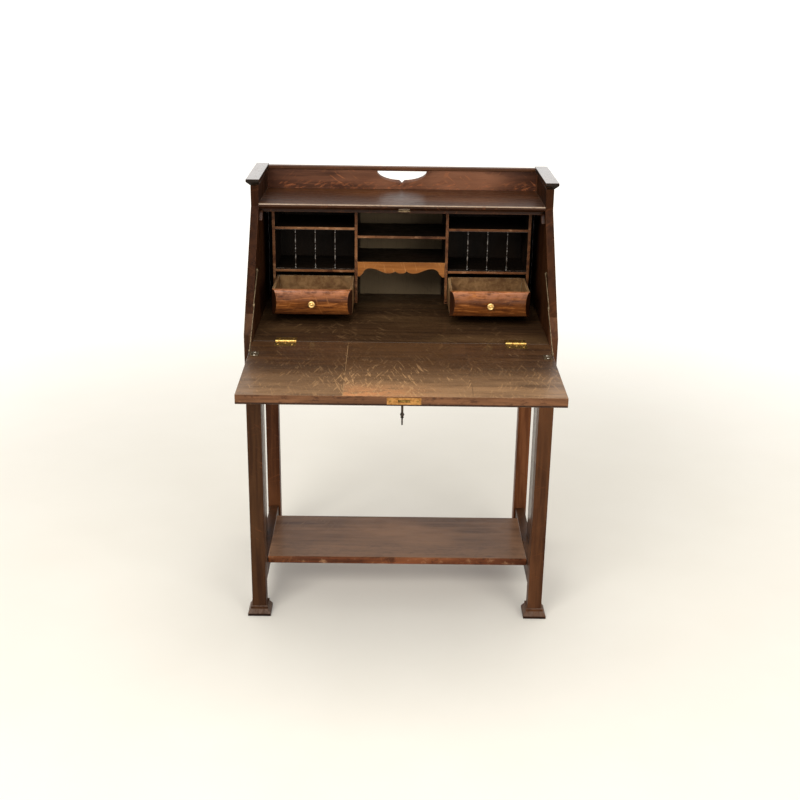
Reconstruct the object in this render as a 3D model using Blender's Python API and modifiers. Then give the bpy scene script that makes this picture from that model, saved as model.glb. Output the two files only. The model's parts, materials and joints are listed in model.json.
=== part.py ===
"""Fall-front secretary in dark oak: open slant-front case on four posts, with its
pigeonhole unit, two small drawers, folding lid stays, butt hinges, lock and key.

Metres, +Z up. Depths are measured from the front faces of the front posts
towards the back. The carcass empty shifts everything so that the origin lies
under the middle of the desk as it stands with its lid open.
"""
import math

import bmesh
import bpy
from mathutils import Matrix, Vector

# Fits and finish
GAP = 0.0003
EDGE_EASE = 0.0008
RUNNING_FIT = 0.0001
SLIDE_FIT = 0.0007

# Frame
WIDTH = 0.690
DEPTH = 0.425
POST = 0.033
FOOT_HEIGHT = 0.0225
FOOT_PLINTH_HEIGHT = 0.0060
FOOT_NECK_HEIGHT = 0.0165
FOOT_OVERHANG = 0.0106
FOOT_LEDGE = 0.0040
FOOT_LAP = 0.005
SIDE_THICK = 0.018
DESK_Z = 0.684
CASE_DROP = 0.084
SLOPE_FOOT_RISE = 0.014
SLOPE_TOP_Y = 0.203
SLOPE_HEIGHT = 0.244
SIDE_HEAD = 0.047
CAP_THICK = 0.0065
CAP_COVE = 0.0090
CAP_OVERHANG = 0.0095
CAP_INNER_OVERHANG = 0.0030

# Lower stretcher shelf
RAIL_BOTTOM = 0.052
RAIL_HEIGHT = 0.048
RAIL_THICK = 0.023
SLAT_WIDTH = 0.062
SLAT_THICK = 0.009
SHELF_TOP = 0.103
SHELF_THICK = 0.019
SHELF_DEPTH = 0.228
SHELF_EASE = 0.002

# Case
BED_THICK = 0.0205
APRON_RAIL_THICK = 0.019
APRON_RAIL_SETBACK = 0.006
BACK_THICK = 0.008
BACK_INSET = 0.008
TOP_BOARD_RISE = 0.007
TOP_BOARD_THICK = 0.013
TOP_BOARD_NOSE = 0.003
TOP_BOARD_BEVEL = 0.0074
HEAD_RAIL_HEIGHT = 0.008
HEAD_RAIL_THICK = 0.018
HEAD_RAIL_SETBACK = 0.0170
GALLERY_THICK = 0.013
GALLERY_STRIP_THICK = 0.0075
GALLERY_STRIP_OVERHANG = 0.0045
GALLERY_STRIP_DROP = 0.002
GALLERY_STRIP_EASE = 0.001
PIERCING_HALF = 0.060
PIERCING_TIP = 0.0075
PIERCING_TIP_HALF = 0.006
PIERCING_RIM = 0.003
PIERCING_FOOT = 0.0080

# Lid
HINGE_Y = 0.004
LID_THICK = 0.0202
LID_SIDE_CLEARANCE = 0.0009
LID_HEEL_CLEARANCE = 0.0006
LID_END_CLEARANCE = 0.0018
LID_DROOP = math.radians(1.4)
STOP_WIDTH = 0.007
STOP_HEIGHT = 0.016
STOP_DEPTH = 0.020
STOP_GAP = 0.0008

# Pigeonhole unit
UNIT_FRONT = 0.265
UNIT_RISE = 0.020
BOARD = 0.0062
UNIT_SIDE_ROOM = 0.023
BAY_INNER = 0.104
RUNNER_SETBACK = 0.005
RUNNER_WIDTH = 0.012
RUNNER_DROP = 0.006
RUNNER_RISE = 0.0005
SHELF_SETBACK = 0.001
UPPER_BAY_HEIGHT = 0.0538
DRAWER_BAY_HEIGHT = 0.070
CENTRE_BAY_HEIGHT = 0.0728
CUBBY_HEIGHT = 0.110
APRON_THICK = 0.0055
APRON_END_DROP = 0.0295
APRON_ARCH_DROP = 0.0095
APRON_LOBE_DROP = 0.0215
APRON_CUSP_DROP = 0.0160
APRON_END_WIDTH = 0.0135
APRON_END_TIP = 0.0054
APRON_ARCH_SHARE = 0.70
APRON_LOBE_SHARE = 0.28
APRON_CUSP_SHARE = 0.12
APRON_LOBE_HOLLOW = 0.0012
SPINDLE_COUNT = 3
SPINDLE_RADIUS = 0.0024
SPINDLE_SETBACK = 0.010
SPINDLE_STRIP = 0.0012

# Drawers
DRAWER_SIDE_CLEARANCE = 0.0018
DRAWER_TOP_CLEARANCE = 0.0098
DRAWER_LENGTH = 0.150
DRAWER_PULLED = 0.117
DRAWER_WALL = 0.006
DRAWER_BOTTOM_THICK = 0.004
DRAWER_FRONT_EDGE = 0.006
DRAWER_FRONT_BULGE = 0.010
DRAWER_END_BEVEL = 0.011
DRAWER_SIDE_DROP = 0.002
KNOB_RADIUS = 0.008
KNOB_LENGTH = 0.015
KNOB_SHARES = ((0, 1), (0.6, 0.97), (0.95, 0.82), (1, 0.66), (0.8, 0.48), (0.45, 0.34), (0.45, 0.14),
               (0.7, 0), (0, 0))

# Hinges
HINGE_INSET = 0.0731
HINGE_LENGTH = 0.046
HINGE_LEAF = 0.030
HINGE_LEAF_THICK = 0.0016
HINGE_BARREL = 0.0030
HINGE_PIN = 0.0014

# Lid stays
STAY_UPPER_Y = 0.1194
STAY_UPPER_RISE = 0.129
STAY_FOOT_REACH = 0.087
STAY_FOOT_RISE = 0.008
STAY_UPPER_LENGTH = 0.106
STAY_THICK = 0.0014
STAY_HALF_WIDTH = 0.0026
STAY_EYE = 0.0048
STAY_PIVOT = 0.0018
STAY_ROSETTE = 0.0058
STAY_ROSETTE_THICK = 0.0012
STAY_HEAD = 0.0032
STAY_HEAD_CROWN = 0.0022
STAY_HEAD_THICK = 0.0010
BRACKET_WIDTH = 0.018
BRACKET_LENGTH = 0.026
BRACKET_THICK = 0.0012

# Lock and key
LOCK_X = 0.0047
LOCK_PLATE_LENGTH = 0.0676
LOCK_PLATE_HEIGHT = 0.0140
LOCK_PLATE_THICK = 0.0012
BOLT_WIDTH = 0.023
BOLT_THICK = 0.0038
BOLT_LENGTH = 0.016
BOLT_THROW = 0.0070
KEY_X = 0.0017
KEY_BACKSET = 0.024
KEY_SHANK = 0.0026
KEY_LENGTH = 0.050
KEY_INSERT = 0.010
KEY_BOW_LENGTH = 0.022
KEY_BOW_HALF_WIDTH = 0.0085
KEY_BOW_THICK = 0.0032
KEY_HOLE = 0.0075
KEY_COLLAR_DROP = 0.0022
KEY_COLLAR = 0.0048
KEY_COLLAR_HEIGHT = 0.0044
KEY_RING = 0.0044
KEY_RING_DROP = 0.0200
KEY_RING_HEIGHT = 0.0066
KEY_BOW_RIM = 0.0046
KEY_BIT_THICK = 0.0021
KEY_BIT_START = 0.0030
KEY_BIT_LENGTH = 0.0055

# Sizes that follow from the ones above
HALF = WIDTH / 2
INNER = HALF - SIDE_THICK
POST_INNER = HALF - POST
REAR_Y = DEPTH - POST
SIDE_BOTTOM = DESK_Z - CASE_DROP
SLOPE_FOOT_Z = DESK_Z + SLOPE_FOOT_RISE
SLOPE_TOP_Z = SLOPE_FOOT_Z + SLOPE_HEIGHT
SIDE_TOP = SLOPE_TOP_Z + SIDE_HEAD
SLOPE = Vector((SLOPE_TOP_Y, SLOPE_HEIGHT)).normalized()
SLOPE_OUT = Vector((-SLOPE.y, SLOPE.x))
HINGE = Vector((HINGE_Y, DESK_Z))
TOP_BOARD_TOP = SLOPE_TOP_Z + TOP_BOARD_RISE
TOP_BOARD_UNDERSIDE = TOP_BOARD_TOP - TOP_BOARD_THICK
TOP_BOARD_FRONT = SLOPE_TOP_Y - TOP_BOARD_NOSE
TOP_BOARD_HEEL = Vector((TOP_BOARD_FRONT + TOP_BOARD_BEVEL, TOP_BOARD_UNDERSIDE))
LID_REACH = (TOP_BOARD_HEEL - HINGE).dot(SLOPE) - LID_END_CLEARANCE
LID_HALF = INNER - LID_SIDE_CLEARANCE
ORIGIN_Y = (DEPTH + FOOT_OVERHANG + HINGE_Y - LID_REACH * math.cos(LID_DROOP)) / 2
BED_UNDERSIDE = DESK_Z - BED_THICK
BACK_FRONT = DEPTH - BACK_INSET - BACK_THICK
GALLERY_BACK = DEPTH - BACK_INSET
GALLERY_FRONT = GALLERY_BACK - GALLERY_THICK
UNIT_BACK = BACK_FRONT - GAP
UNIT_HALF = INNER - UNIT_SIDE_ROOM
UNIT_BOTTOM = DESK_Z + UNIT_RISE
UPPER_SHELF_Z = TOP_BOARD_UNDERSIDE - UPPER_BAY_HEIGHT - BOARD
LETTER_SHELF_Z = UNIT_BOTTOM + DRAWER_BAY_HEIGHT
CENTRE_SHELF_Z = TOP_BOARD_UNDERSIDE - CENTRE_BAY_HEIGHT - BOARD
CUBBY_SHELF_Z = DESK_Z + CUBBY_HEIGHT
BAY_CENTRE = (UNIT_HALF + BAY_INNER) / 2
BAY_WIDTH = UNIT_HALF - BAY_INNER - 2 * BOARD
DRAWER_WIDTH = BAY_WIDTH - 2 * DRAWER_SIDE_CLEARANCE
DRAWER_OPEN_Y = UNIT_FRONT - DRAWER_PULLED
DRAWER_Z = UNIT_BOTTOM + RUNNER_RISE + SLIDE_FIT
DRAWER_HEIGHT = LETTER_SHELF_Z - DRAWER_Z - DRAWER_TOP_CLEARANCE
LOCK_DEPTH = LID_THICK / 2
HINGE_X = LID_HALF - HINGE_INSET
STAY_UPPER_Z = DESK_Z + STAY_UPPER_RISE
STAY_X = INNER - GAP - STAY_ROSETTE_THICK - GAP - STAY_THICK / 2
STAY_LOWER_X = STAY_X - STAY_THICK - GAP

collection = bpy.data.collections.new("fall_front_secretary")
cutters = bpy.data.collections.new("cutters")


def clear_scene():
    for thing in list(bpy.data.objects):
        bpy.data.objects.remove(thing, do_unlink=True)
    bpy.context.scene.collection.children.link(collection)
    bpy.context.scene.collection.children.link(cutters)


def finish(name, colour, roughness, metallic=0.0):
    material = bpy.data.materials.new(name)
    material.use_nodes = True
    shader = material.node_tree.nodes["Principled BSDF"]
    shader.inputs["Base Color"].default_value = (*colour, 1.0)
    shader.inputs["Roughness"].default_value = roughness
    shader.inputs["Metallic"].default_value = metallic
    return material


DARK_OAK = finish("dark_oak", (0.045, 0.017, 0.010), 0.35)
CASE_OAK = finish("case_oak", (0.060, 0.028, 0.016), 0.40)
LID_OAK = finish("lid_oak", (0.150, 0.078, 0.040), 0.38)
GOLDEN_OAK = finish("golden_oak", (0.300, 0.120, 0.040), 0.45)
DRAWER_OAK = finish("drawer_oak", (0.240, 0.075, 0.024), 0.35)
DRAWER_LINING = finish("drawer_lining", (0.280, 0.190, 0.090), 0.60)
BRASS = finish("brass", (0.600, 0.400, 0.140), 0.30, 1.0)
STEEL = finish("steel", (0.420, 0.390, 0.350), 0.35, 1.0)
IRON = finish("iron", (0.040, 0.035, 0.032), 0.50, 1.0)


def empty(name, location, parent=None, tilt=0.0):
    holder = bpy.data.objects.new(name, None)
    holder.location = location
    holder.rotation_euler = (tilt, 0.0, 0.0)
    holder.parent = parent
    collection.objects.link(holder)
    return holder


def place(name, mesh, material, parent, location=(0, 0, 0), rotation=(0, 0, 0), smooth=None):
    """Put a mesh in the desk as one named piece."""
    piece = bpy.data.objects.new(name, mesh)
    mesh.materials.clear()
    mesh.materials.append(material)
    if smooth is not None:
        mesh.shade_smooth()
        mesh.set_sharp_from_angle(angle=smooth)
    piece.parent = parent
    piece.location = location
    piece.rotation_euler = rotation
    collection.objects.link(piece)
    return piece


def mesh_of(bm, name):
    mesh = bpy.data.meshes.new(name)
    bm.to_mesh(mesh)
    bm.free()
    return mesh


def box_mesh(name, size):
    bm = bmesh.new()
    bmesh.ops.create_cube(bm, size=1.0, matrix=Matrix.Diagonal((*size, 1.0)))
    return mesh_of(bm, name)


def board(name, low, high, material, parent, ease=EDGE_EASE):
    """A sawn board between two corners, with eased edges."""
    low, high = Vector(low), Vector(high)
    piece = place(name, box_mesh(name, high - low), material, parent, (low + high) / 2)
    if ease:
        bevel = piece.modifiers.new("eased_edges", "BEVEL")
        bevel.width = ease
        bevel.segments = 1
    return piece


def flat_mesh(name, outlines, thickness):
    """A flat piece sawn to an outline; further outlines are holes in it."""
    curve = bpy.data.curves.new(name, "CURVE")
    curve.dimensions = "2D"
    curve.fill_mode = "BOTH"
    curve.extrude = thickness / 2
    for points in outlines:
        spline = curve.splines.new("POLY")
        spline.points.add(len(points) - 1)
        for point, (x, y) in zip(spline.points, points):
            point.co = (x, y, 0.0, 1.0)
        spline.use_cyclic_u = True
    holder = bpy.data.objects.new(name, curve)
    collection.objects.link(holder)
    depsgraph = bpy.context.evaluated_depsgraph_get()
    mesh = bpy.data.meshes.new_from_object(holder.evaluated_get(depsgraph))
    bpy.data.objects.remove(holder, do_unlink=True)
    bpy.data.curves.remove(curve)
    bm = bmesh.new()
    bm.from_mesh(mesh)
    bmesh.ops.remove_doubles(bm, verts=bm.verts, dist=0.00001)
    bmesh.ops.recalc_face_normals(bm, faces=bm.faces)
    bm.to_mesh(mesh)
    bm.free()
    return mesh


SIDEWAYS = (math.pi / 2, 0.0, math.pi / 2)
UPRIGHT = (math.pi / 2, 0.0, 0.0)
TO_RIGHT = (0.0, math.pi / 2, 0.0)
TO_LEFT = (0.0, -math.pi / 2, 0.0)
TO_FRONT = (math.pi / 2, 0.0, 0.0)


def turned(name, profile, material, parent, location=(0, 0, 0), rotation=(0, 0, 0), steps=16):
    """A lathe-turned piece; the profile lists (radius, height) from top to bottom."""
    bm = bmesh.new()
    verts = [bm.verts.new((radius, 0.0, height)) for radius, height in profile]
    for upper, lower in zip(verts, verts[1:]):
        bm.edges.new((upper, lower))
    piece = place(name, mesh_of(bm, name), material, parent, location, rotation)
    screw = piece.modifiers.new("lathe", "SCREW")
    screw.axis = "Z"
    screw.steps = steps
    screw.render_steps = steps
    screw.use_merge_vertices = True
    screw.merge_threshold = 0.00001
    screw.use_smooth_shade = steps > 4
    return piece


def circle(centre, radius, count=16):
    turns = [2 * math.pi * index / count for index in range(count)]
    return [(centre[0] + radius * math.cos(t), centre[1] + radius * math.sin(t)) for t in turns]


def arc(centre, radius, start, end, count):
    turns = [math.radians(start + (end - start) * index / count) for index in range(count + 1)]
    return [(centre[0] + radius * math.cos(t), centre[1] + radius * math.sin(t)) for t in turns]


def cut(piece, cutter):
    """Take a cutter's shape out of a piece."""
    collection.objects.unlink(cutter)
    cutters.objects.link(cutter)
    cutter.hide_render = True
    cutter.display_type = "WIRE"
    boolean = piece.modifiers.new("cut_" + cutter.name, "BOOLEAN")
    boolean.operation = "DIFFERENCE"
    boolean.object = cutter
    return piece


def fuse(piece, other):
    """Make another shape one body with a piece."""
    cut(piece, other).modifiers[-1].operation = "UNION"
    return piece


def slope_height(y):
    return SLOPE_FOOT_Z + y * SLOPE.y / SLOPE.x


def mirrored(side, low, high):
    """Corners of a board on the left (-1) or right (+1), from its right-hand corners."""
    if side > 0:
        return low, high
    return (-high[0], low[1], low[2]), (-low[0], high[1], high[2])


SIDES = (("left", -1), ("right", 1))


def build_posts(desk):
    """Four posts, notched inside for the desk bed, each glued up with its flared foot."""
    notch_z = BED_UNDERSIDE - GAP
    foot_top = FOOT_HEIGHT - FOOT_LAP
    for word, side in SIDES:
        centre = side * (HALF - POST / 2)
        notch_low = (POST_INNER - POST, -POST, notch_z)
        notch_high = (INNER, DEPTH + POST, SIDE_TOP + POST)
        front = [(0, foot_top), (POST, foot_top), (POST, slope_height(POST)), (0, SLOPE_FOOT_Z)]
        rear = [(REAR_Y, foot_top), (DEPTH, foot_top), (DEPTH, SIDE_TOP), (REAR_Y, SIDE_TOP)]
        for where, outline, y in (("front", front, POST / 2), ("rear", rear, DEPTH - POST / 2)):
            name = f"{where}_{word}_leg"
            leg = place(name, flat_mesh(name, [outline], POST), DARK_OAK, desk, (centre, 0, 0), SIDEWAYS)
            low, high = mirrored(side, notch_low, notch_high)
            cut(leg, board(f"{name}_notch", low, high, DARK_OAK, desk, 0))
            fuse(leg, build_foot(f"{name}_foot", (centre, y, 0), desk))


def build_foot(name, spot, desk):
    neck = POST / 2 + FOOT_LEDGE
    plinth = POST / 2 + FOOT_OVERHANG
    profile = [(0, FOOT_HEIGHT), (neck, FOOT_HEIGHT), (neck, FOOT_NECK_HEIGHT),
               (plinth, FOOT_PLINTH_HEIGHT), (plinth, 0), (0, 0)]
    square = [(radius * math.sqrt(2), height) for radius, height in profile]
    return turned(name, square, DARK_OAK, desk, spot, (0, 0, math.pi / 4), 4)


def build_sides(desk):
    front, rear = POST + GAP, REAR_Y - GAP
    outline = [(front, SIDE_BOTTOM), (rear, SIDE_BOTTOM), (rear, SIDE_TOP), (SLOPE_TOP_Y, SIDE_TOP),
               (SLOPE_TOP_Y, SLOPE_TOP_Z), (front, slope_height(front))]
    for word, side in SIDES:
        name = f"{word}_side"
        place(name, flat_mesh(name, [outline], SIDE_THICK), DARK_OAK, desk,
              (side * (HALF - SIDE_THICK / 2), 0, 0), SIDEWAYS)
        build_cap(f"{word}_cap", side, desk)


def build_cap(name, side, desk):
    """A capping slab with a chamfered neck down to the side's top edge."""
    base = SIDE_TOP + GAP
    low, high = mirrored(side, (INNER, SLOPE_TOP_Y, base), (HALF, DEPTH, base + CAP_COVE))
    wide_low, wide_high = mirrored(
        side, (INNER - CAP_INNER_OVERHANG, SLOPE_TOP_Y - CAP_OVERHANG, base),
        (HALF + CAP_OVERHANG, DEPTH, base))
    bm = bmesh.new()
    centre = (Vector(wide_low) + Vector(wide_high)) / 2 + Vector((0, 0, CAP_COVE + CAP_THICK / 2))
    size = Vector(wide_high) - Vector(wide_low) + Vector((0, 0, CAP_THICK))
    bmesh.ops.create_cube(bm, size=1.0, matrix=Matrix.Translation(centre) @ Matrix.Diagonal((*size, 1)))
    bottom = min(bm.faces, key=lambda face: face.calc_center_median().z)
    neck = bmesh.ops.extrude_face_region(bm, geom=[bottom])["geom"]
    bmesh.ops.delete(bm, geom=[bottom], context="FACES_ONLY")
    for vert in (item for item in neck if isinstance(item, bmesh.types.BMVert)):
        vert.co.x = low[0] if vert.co.x < centre.x else high[0]
        vert.co.y = low[1] if vert.co.y < centre.y else high[1]
        vert.co.z = base
    bmesh.ops.recalc_face_normals(bm, faces=bm.faces)
    place(name, mesh_of(bm, name), DARK_OAK, desk)


def build_stretcher(desk):
    rail_x = HALF - POST / 2
    rail_top = RAIL_BOTTOM + RAIL_HEIGHT
    for word, side in SIDES:
        low, high = mirrored(side, (rail_x - RAIL_THICK / 2, POST + GAP, RAIL_BOTTOM),
                             (rail_x + RAIL_THICK / 2, REAR_Y - GAP, rail_top))
        board(f"{word}_lower_rail", low, high, DARK_OAK, desk)
        low, high = mirrored(
            side, (HALF - SIDE_THICK / 2 - SLAT_THICK / 2, DEPTH / 2 - SLAT_WIDTH / 2, rail_top + GAP),
            (HALF - SIDE_THICK / 2 + SLAT_THICK / 2, DEPTH / 2 + SLAT_WIDTH / 2, SIDE_BOTTOM - GAP))
        board(f"{word}_slat", low, high, DARK_OAK, desk)
    reach = rail_x - RAIL_THICK / 2 - GAP
    board("lower_shelf", (-reach, DEPTH / 2 - SHELF_DEPTH / 2, SHELF_TOP - SHELF_THICK),
          (reach, DEPTH / 2 + SHELF_DEPTH / 2, SHELF_TOP), DARK_OAK, desk, SHELF_EASE)


def build_case(desk):
    reach = INNER - GAP
    bed = board("desk_bed", (-reach, HINGE_Y + LID_HEEL_CLEARANCE, BED_UNDERSIDE),
                (reach, UNIT_BACK, DESK_Z), CASE_OAK, desk)
    rail_reach = POST_INNER - GAP
    board("front_rail", (-rail_reach, APRON_RAIL_SETBACK, SIDE_BOTTOM),
          (rail_reach, APRON_RAIL_SETBACK + APRON_RAIL_THICK, BED_UNDERSIDE - GAP), DARK_OAK, desk)
    board("back_panel", (-reach, BACK_FRONT, BED_UNDERSIDE),
          (reach, BACK_FRONT + BACK_THICK, TOP_BOARD_UNDERSIDE - GAP), CASE_OAK, desk)
    build_top(desk, reach)
    build_gallery(desk, reach)
    return bed


def lid_end(out, along):
    """A point by the closed lid's free end: out from its inner face, along its reach."""
    return HINGE + SLOPE * (LID_REACH + along) + SLOPE_OUT * out


def build_top(desk, reach):
    """The top board's front edge is bevelled underneath to meet the closed lid's end."""
    lip_z = TOP_BOARD_UNDERSIDE + TOP_BOARD_BEVEL * SLOPE.x / SLOPE.y
    outline = [(TOP_BOARD_FRONT, TOP_BOARD_TOP), (TOP_BOARD_FRONT, lip_z), tuple(TOP_BOARD_HEEL),
               (GALLERY_FRONT - GAP, TOP_BOARD_UNDERSIDE), (GALLERY_FRONT - GAP, TOP_BOARD_TOP)]
    top = place("top_board", flat_mesh("top_board", [outline], 2 * reach), DARK_OAK, desk,
                rotation=SIDEWAYS)
    tilt = math.atan2(SLOPE.y, SLOPE.x)
    pocket = lid_end(LOCK_DEPTH, LID_END_CLEARANCE)
    pocket_size = (BOLT_WIDTH + 8 * GAP, 2 * BOLT_THROW, BOLT_THICK + 6 * GAP)
    socket = place("strike_socket", box_mesh("strike_socket", pocket_size), BRASS, desk,
                   (LOCK_X, pocket.x, pocket.y), (tilt, 0, 0))
    cut(top, socket)
    rail_top = TOP_BOARD_UNDERSIDE - GAP
    rail_y = TOP_BOARD_FRONT + HEAD_RAIL_SETBACK
    rail = board("head_rail", (-reach, rail_y, rail_top - HEAD_RAIL_HEIGHT),
                 (reach, rail_y + HEAD_RAIL_THICK, rail_top), DARK_OAK, desk, 0)
    for word, side in SIDES:
        fuse(rail, build_lid_stop(f"{word}_lid_stop", side, rail_top - HEAD_RAIL_HEIGHT / 2, desk))


def build_lid_stop(name, side, top, desk):
    """A block glued under the head rail's end, where the closed lid's inner face comes to rest."""
    def face_y(z):
        return HINGE.x + (z - HINGE.y) * SLOPE.x / SLOPE.y + STOP_GAP / SLOPE.y
    bottom = top - HEAD_RAIL_HEIGHT / 2 - STOP_HEIGHT
    outline = [(face_y(bottom), bottom), (face_y(bottom) + STOP_DEPTH, bottom),
               (face_y(top) + STOP_DEPTH, top), (face_y(top), top)]
    return place(name, flat_mesh(name, [outline], STOP_WIDTH), DARK_OAK, desk,
                 (side * (INNER - 2 * GAP - STOP_WIDTH / 2), 0, 0), SIDEWAYS)


def bracket_curve(depth):
    """Lower edge of the pierced opening, left to right: half an ellipse with a point under its middle."""
    bowl = depth - PIERCING_TIP
    first = math.degrees(math.asin(PIERCING_TIP_HALF / PIERCING_HALF))
    turns = arc((0, 0), 1, 90 - first, 0, 10)
    right = [(PIERCING_HALF * across, bowl * down) for across, down in turns]
    return [(-x, drop) for x, drop in reversed(right)] + [(0, depth)] + right


def build_gallery(desk, reach):
    foot = TOP_BOARD_UNDERSIDE
    strip_bottom = SIDE_TOP + GAP + CAP_COVE + CAP_THICK - GALLERY_STRIP_DROP - GALLERY_STRIP_THICK
    head = strip_bottom - GAP
    opening_top = head - PIERCING_RIM
    depth = opening_top - PIERCING_FOOT - TOP_BOARD_TOP
    lower_edge = [(x, opening_top - drop) for x, drop in bracket_curve(depth)]
    neck = reach - CAP_INNER_OVERHANG * (head - SIDE_TOP) / CAP_COVE
    frame = [(-reach, foot), (reach, foot), (reach, SIDE_TOP), (neck, head), (-neck, head),
             (-reach, SIDE_TOP)]
    middle = (GALLERY_FRONT + GALLERY_BACK) / 2
    place("gallery_board", flat_mesh("gallery_board", [frame, lower_edge], GALLERY_THICK), DARK_OAK, desk,
          (0, middle, 0), UPRIGHT)
    strip_reach = INNER - CAP_INNER_OVERHANG - GAP
    board("gallery_strip", (-strip_reach, GALLERY_FRONT - GALLERY_STRIP_OVERHANG, strip_bottom),
          (strip_reach, GALLERY_BACK, strip_bottom + GALLERY_STRIP_THICK), DARK_OAK, desk,
          GALLERY_STRIP_EASE)


def spindle_profile(length):
    """Slim turned spindle: end collars, a middle bulb and two vase swellings."""
    r = SPINDLE_RADIUS
    marks = [(0, 0), (0.8, 0), (0.8, 0.04), (0.45, 0.07), (0.45, 0.14), (1.0, 0.24), (0.5, 0.34),
             (0.9, 0.44), (1.0, 0.50)]
    upper = [(r * swell, length * (1 - share)) for swell, share in marks]
    lower = [(r * swell, length * share) for swell, share in reversed(marks[:-1])]
    return upper + lower


def build_unit(desk):
    top = TOP_BOARD_UNDERSIDE - GAP
    inner, outer = BAY_INNER + BOARD + GAP, UNIT_HALF - BOARD - GAP
    for word, side in SIDES:
        uprights = {
            "end_board": (UNIT_HALF - BOARD, UNIT_HALF, -1),
            "divider": (BAY_INNER, BAY_INNER + BOARD, 1),
        }
        for name, (low_x, high_x, runner_way) in uprights.items():
            low, high = mirrored(side, (low_x, UNIT_FRONT, UNIT_BOTTOM), (high_x, UNIT_BACK, top))
            upright = board(f"{word}_{name}", low, high, GOLDEN_OAK, desk, 0)
            runner_edge = high_x + RUNNER_WIDTH if runner_way > 0 else low_x - RUNNER_WIDTH
            low, high = mirrored(
                side, (min(low_x, runner_edge), UNIT_FRONT + RUNNER_SETBACK, UNIT_BOTTOM - RUNNER_DROP),
                (max(high_x, runner_edge), UNIT_BACK, UNIT_BOTTOM + RUNNER_RISE))
            fuse(upright, board(f"{word}_{name}_runner", low, high, GOLDEN_OAK, desk, 0))
        for name, z in (("upper_shelf", UPPER_SHELF_Z), ("letter_shelf", LETTER_SHELF_Z)):
            low, high = mirrored(side, (inner, UNIT_FRONT + SHELF_SETBACK, z),
                                 (outer, UNIT_BACK, z + BOARD))
            board(f"{word}_{name}", low, high, GOLDEN_OAK, desk)
        build_spindles(f"{word}_spindles", side, inner, outer, desk)
    reach = BAY_INNER - GAP
    shelves = {}
    for name, z in (("centre_shelf", CENTRE_SHELF_Z), ("cubby_shelf", CUBBY_SHELF_Z)):
        low, high = (-reach, UNIT_FRONT + SHELF_SETBACK, z), (reach, UNIT_BACK, z + BOARD)
        shelves[name] = board(name, low, high, GOLDEN_OAK, desk, 0)
    fuse(shelves["cubby_shelf"], build_apron(desk, reach))


def build_spindles(name, side, inner, outer, desk):
    """A row of spindles held between a thin foot strip and a thin head strip."""
    foot = LETTER_SHELF_Z + BOARD + GAP
    head = UPPER_SHELF_Z - GAP
    y = UNIT_FRONT + SPINDLE_SETBACK
    spacing = (outer - inner) / (SPINDLE_COUNT + 1)
    lap = SPINDLE_STRIP / 2
    profile = spindle_profile(head - foot - 2 * lap)
    strips = []
    for word, z in (("foot", foot), ("head", head - SPINDLE_STRIP)):
        low, high = mirrored(side, (inner, y - SPINDLE_RADIUS, z),
                             (outer, y + SPINDLE_RADIUS, z + SPINDLE_STRIP))
        strips.append(board(name if word == "foot" else f"{name}_head", low, high, DARK_OAK, desk, 0))
    fuse(strips[0], strips[1])
    for index in range(SPINDLE_COUNT):
        spot = (side * (inner + spacing * (index + 1)), y, foot + lap)
        fuse(strips[0], turned(f"{name}_{index}", profile, DARK_OAK, desk, spot, steps=8))


def build_apron(desk, reach):
    """A scalloped valance: hanging ends, low arches, ogee lobes and a round middle drop."""
    top = CUBBY_SHELF_Z + BOARD / 2
    edge = reach - GAP
    arch_x = reach * APRON_ARCH_SHARE
    lobe_x = reach * APRON_LOBE_SHARE
    cusp_x = reach * APRON_CUSP_SHARE
    rise = APRON_LOBE_DROP - APRON_ARCH_DROP
    shoulder = reach - APRON_END_WIDTH
    half = [(edge, APRON_END_DROP), (reach - APRON_END_TIP, APRON_END_DROP), (shoulder, APRON_LOBE_DROP)]
    for along, up in arc((0, 0), 1, 15, 90, 5):
        half.append((arch_x + (shoulder - arch_x) * along, APRON_ARCH_DROP + rise * (1 - up)))
    steps = 6
    for index in range(1, steps + 1):
        share = index / steps
        wave = (1 - math.cos(math.pi * share)) / 2
        half.append((arch_x + (lobe_x - arch_x) * share, APRON_ARCH_DROP + rise * wave))
    half.append(((lobe_x + cusp_x) / 2, APRON_LOBE_DROP - APRON_LOBE_HOLLOW))
    for along, down in arc((0, 0), 1, 0, 60, 2):
        half.append((cusp_x * along, APRON_CUSP_DROP + (APRON_LOBE_DROP - APRON_CUSP_DROP) * down))
    under = CUBBY_SHELF_Z
    outline = [(edge, top)] + [(x, under - drop) for x, drop in half] + [(0, under - APRON_LOBE_DROP)]
    outline += [(-x, under - drop) for x, drop in reversed(half)] + [(-edge, top)]
    middle = UNIT_FRONT + SHELF_SETBACK + GAP + APRON_THICK / 2
    return place("apron", flat_mesh("apron", [outline], APRON_THICK), GOLDEN_OAK, desk, (0, middle, 0),
                 UPRIGHT)


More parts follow.
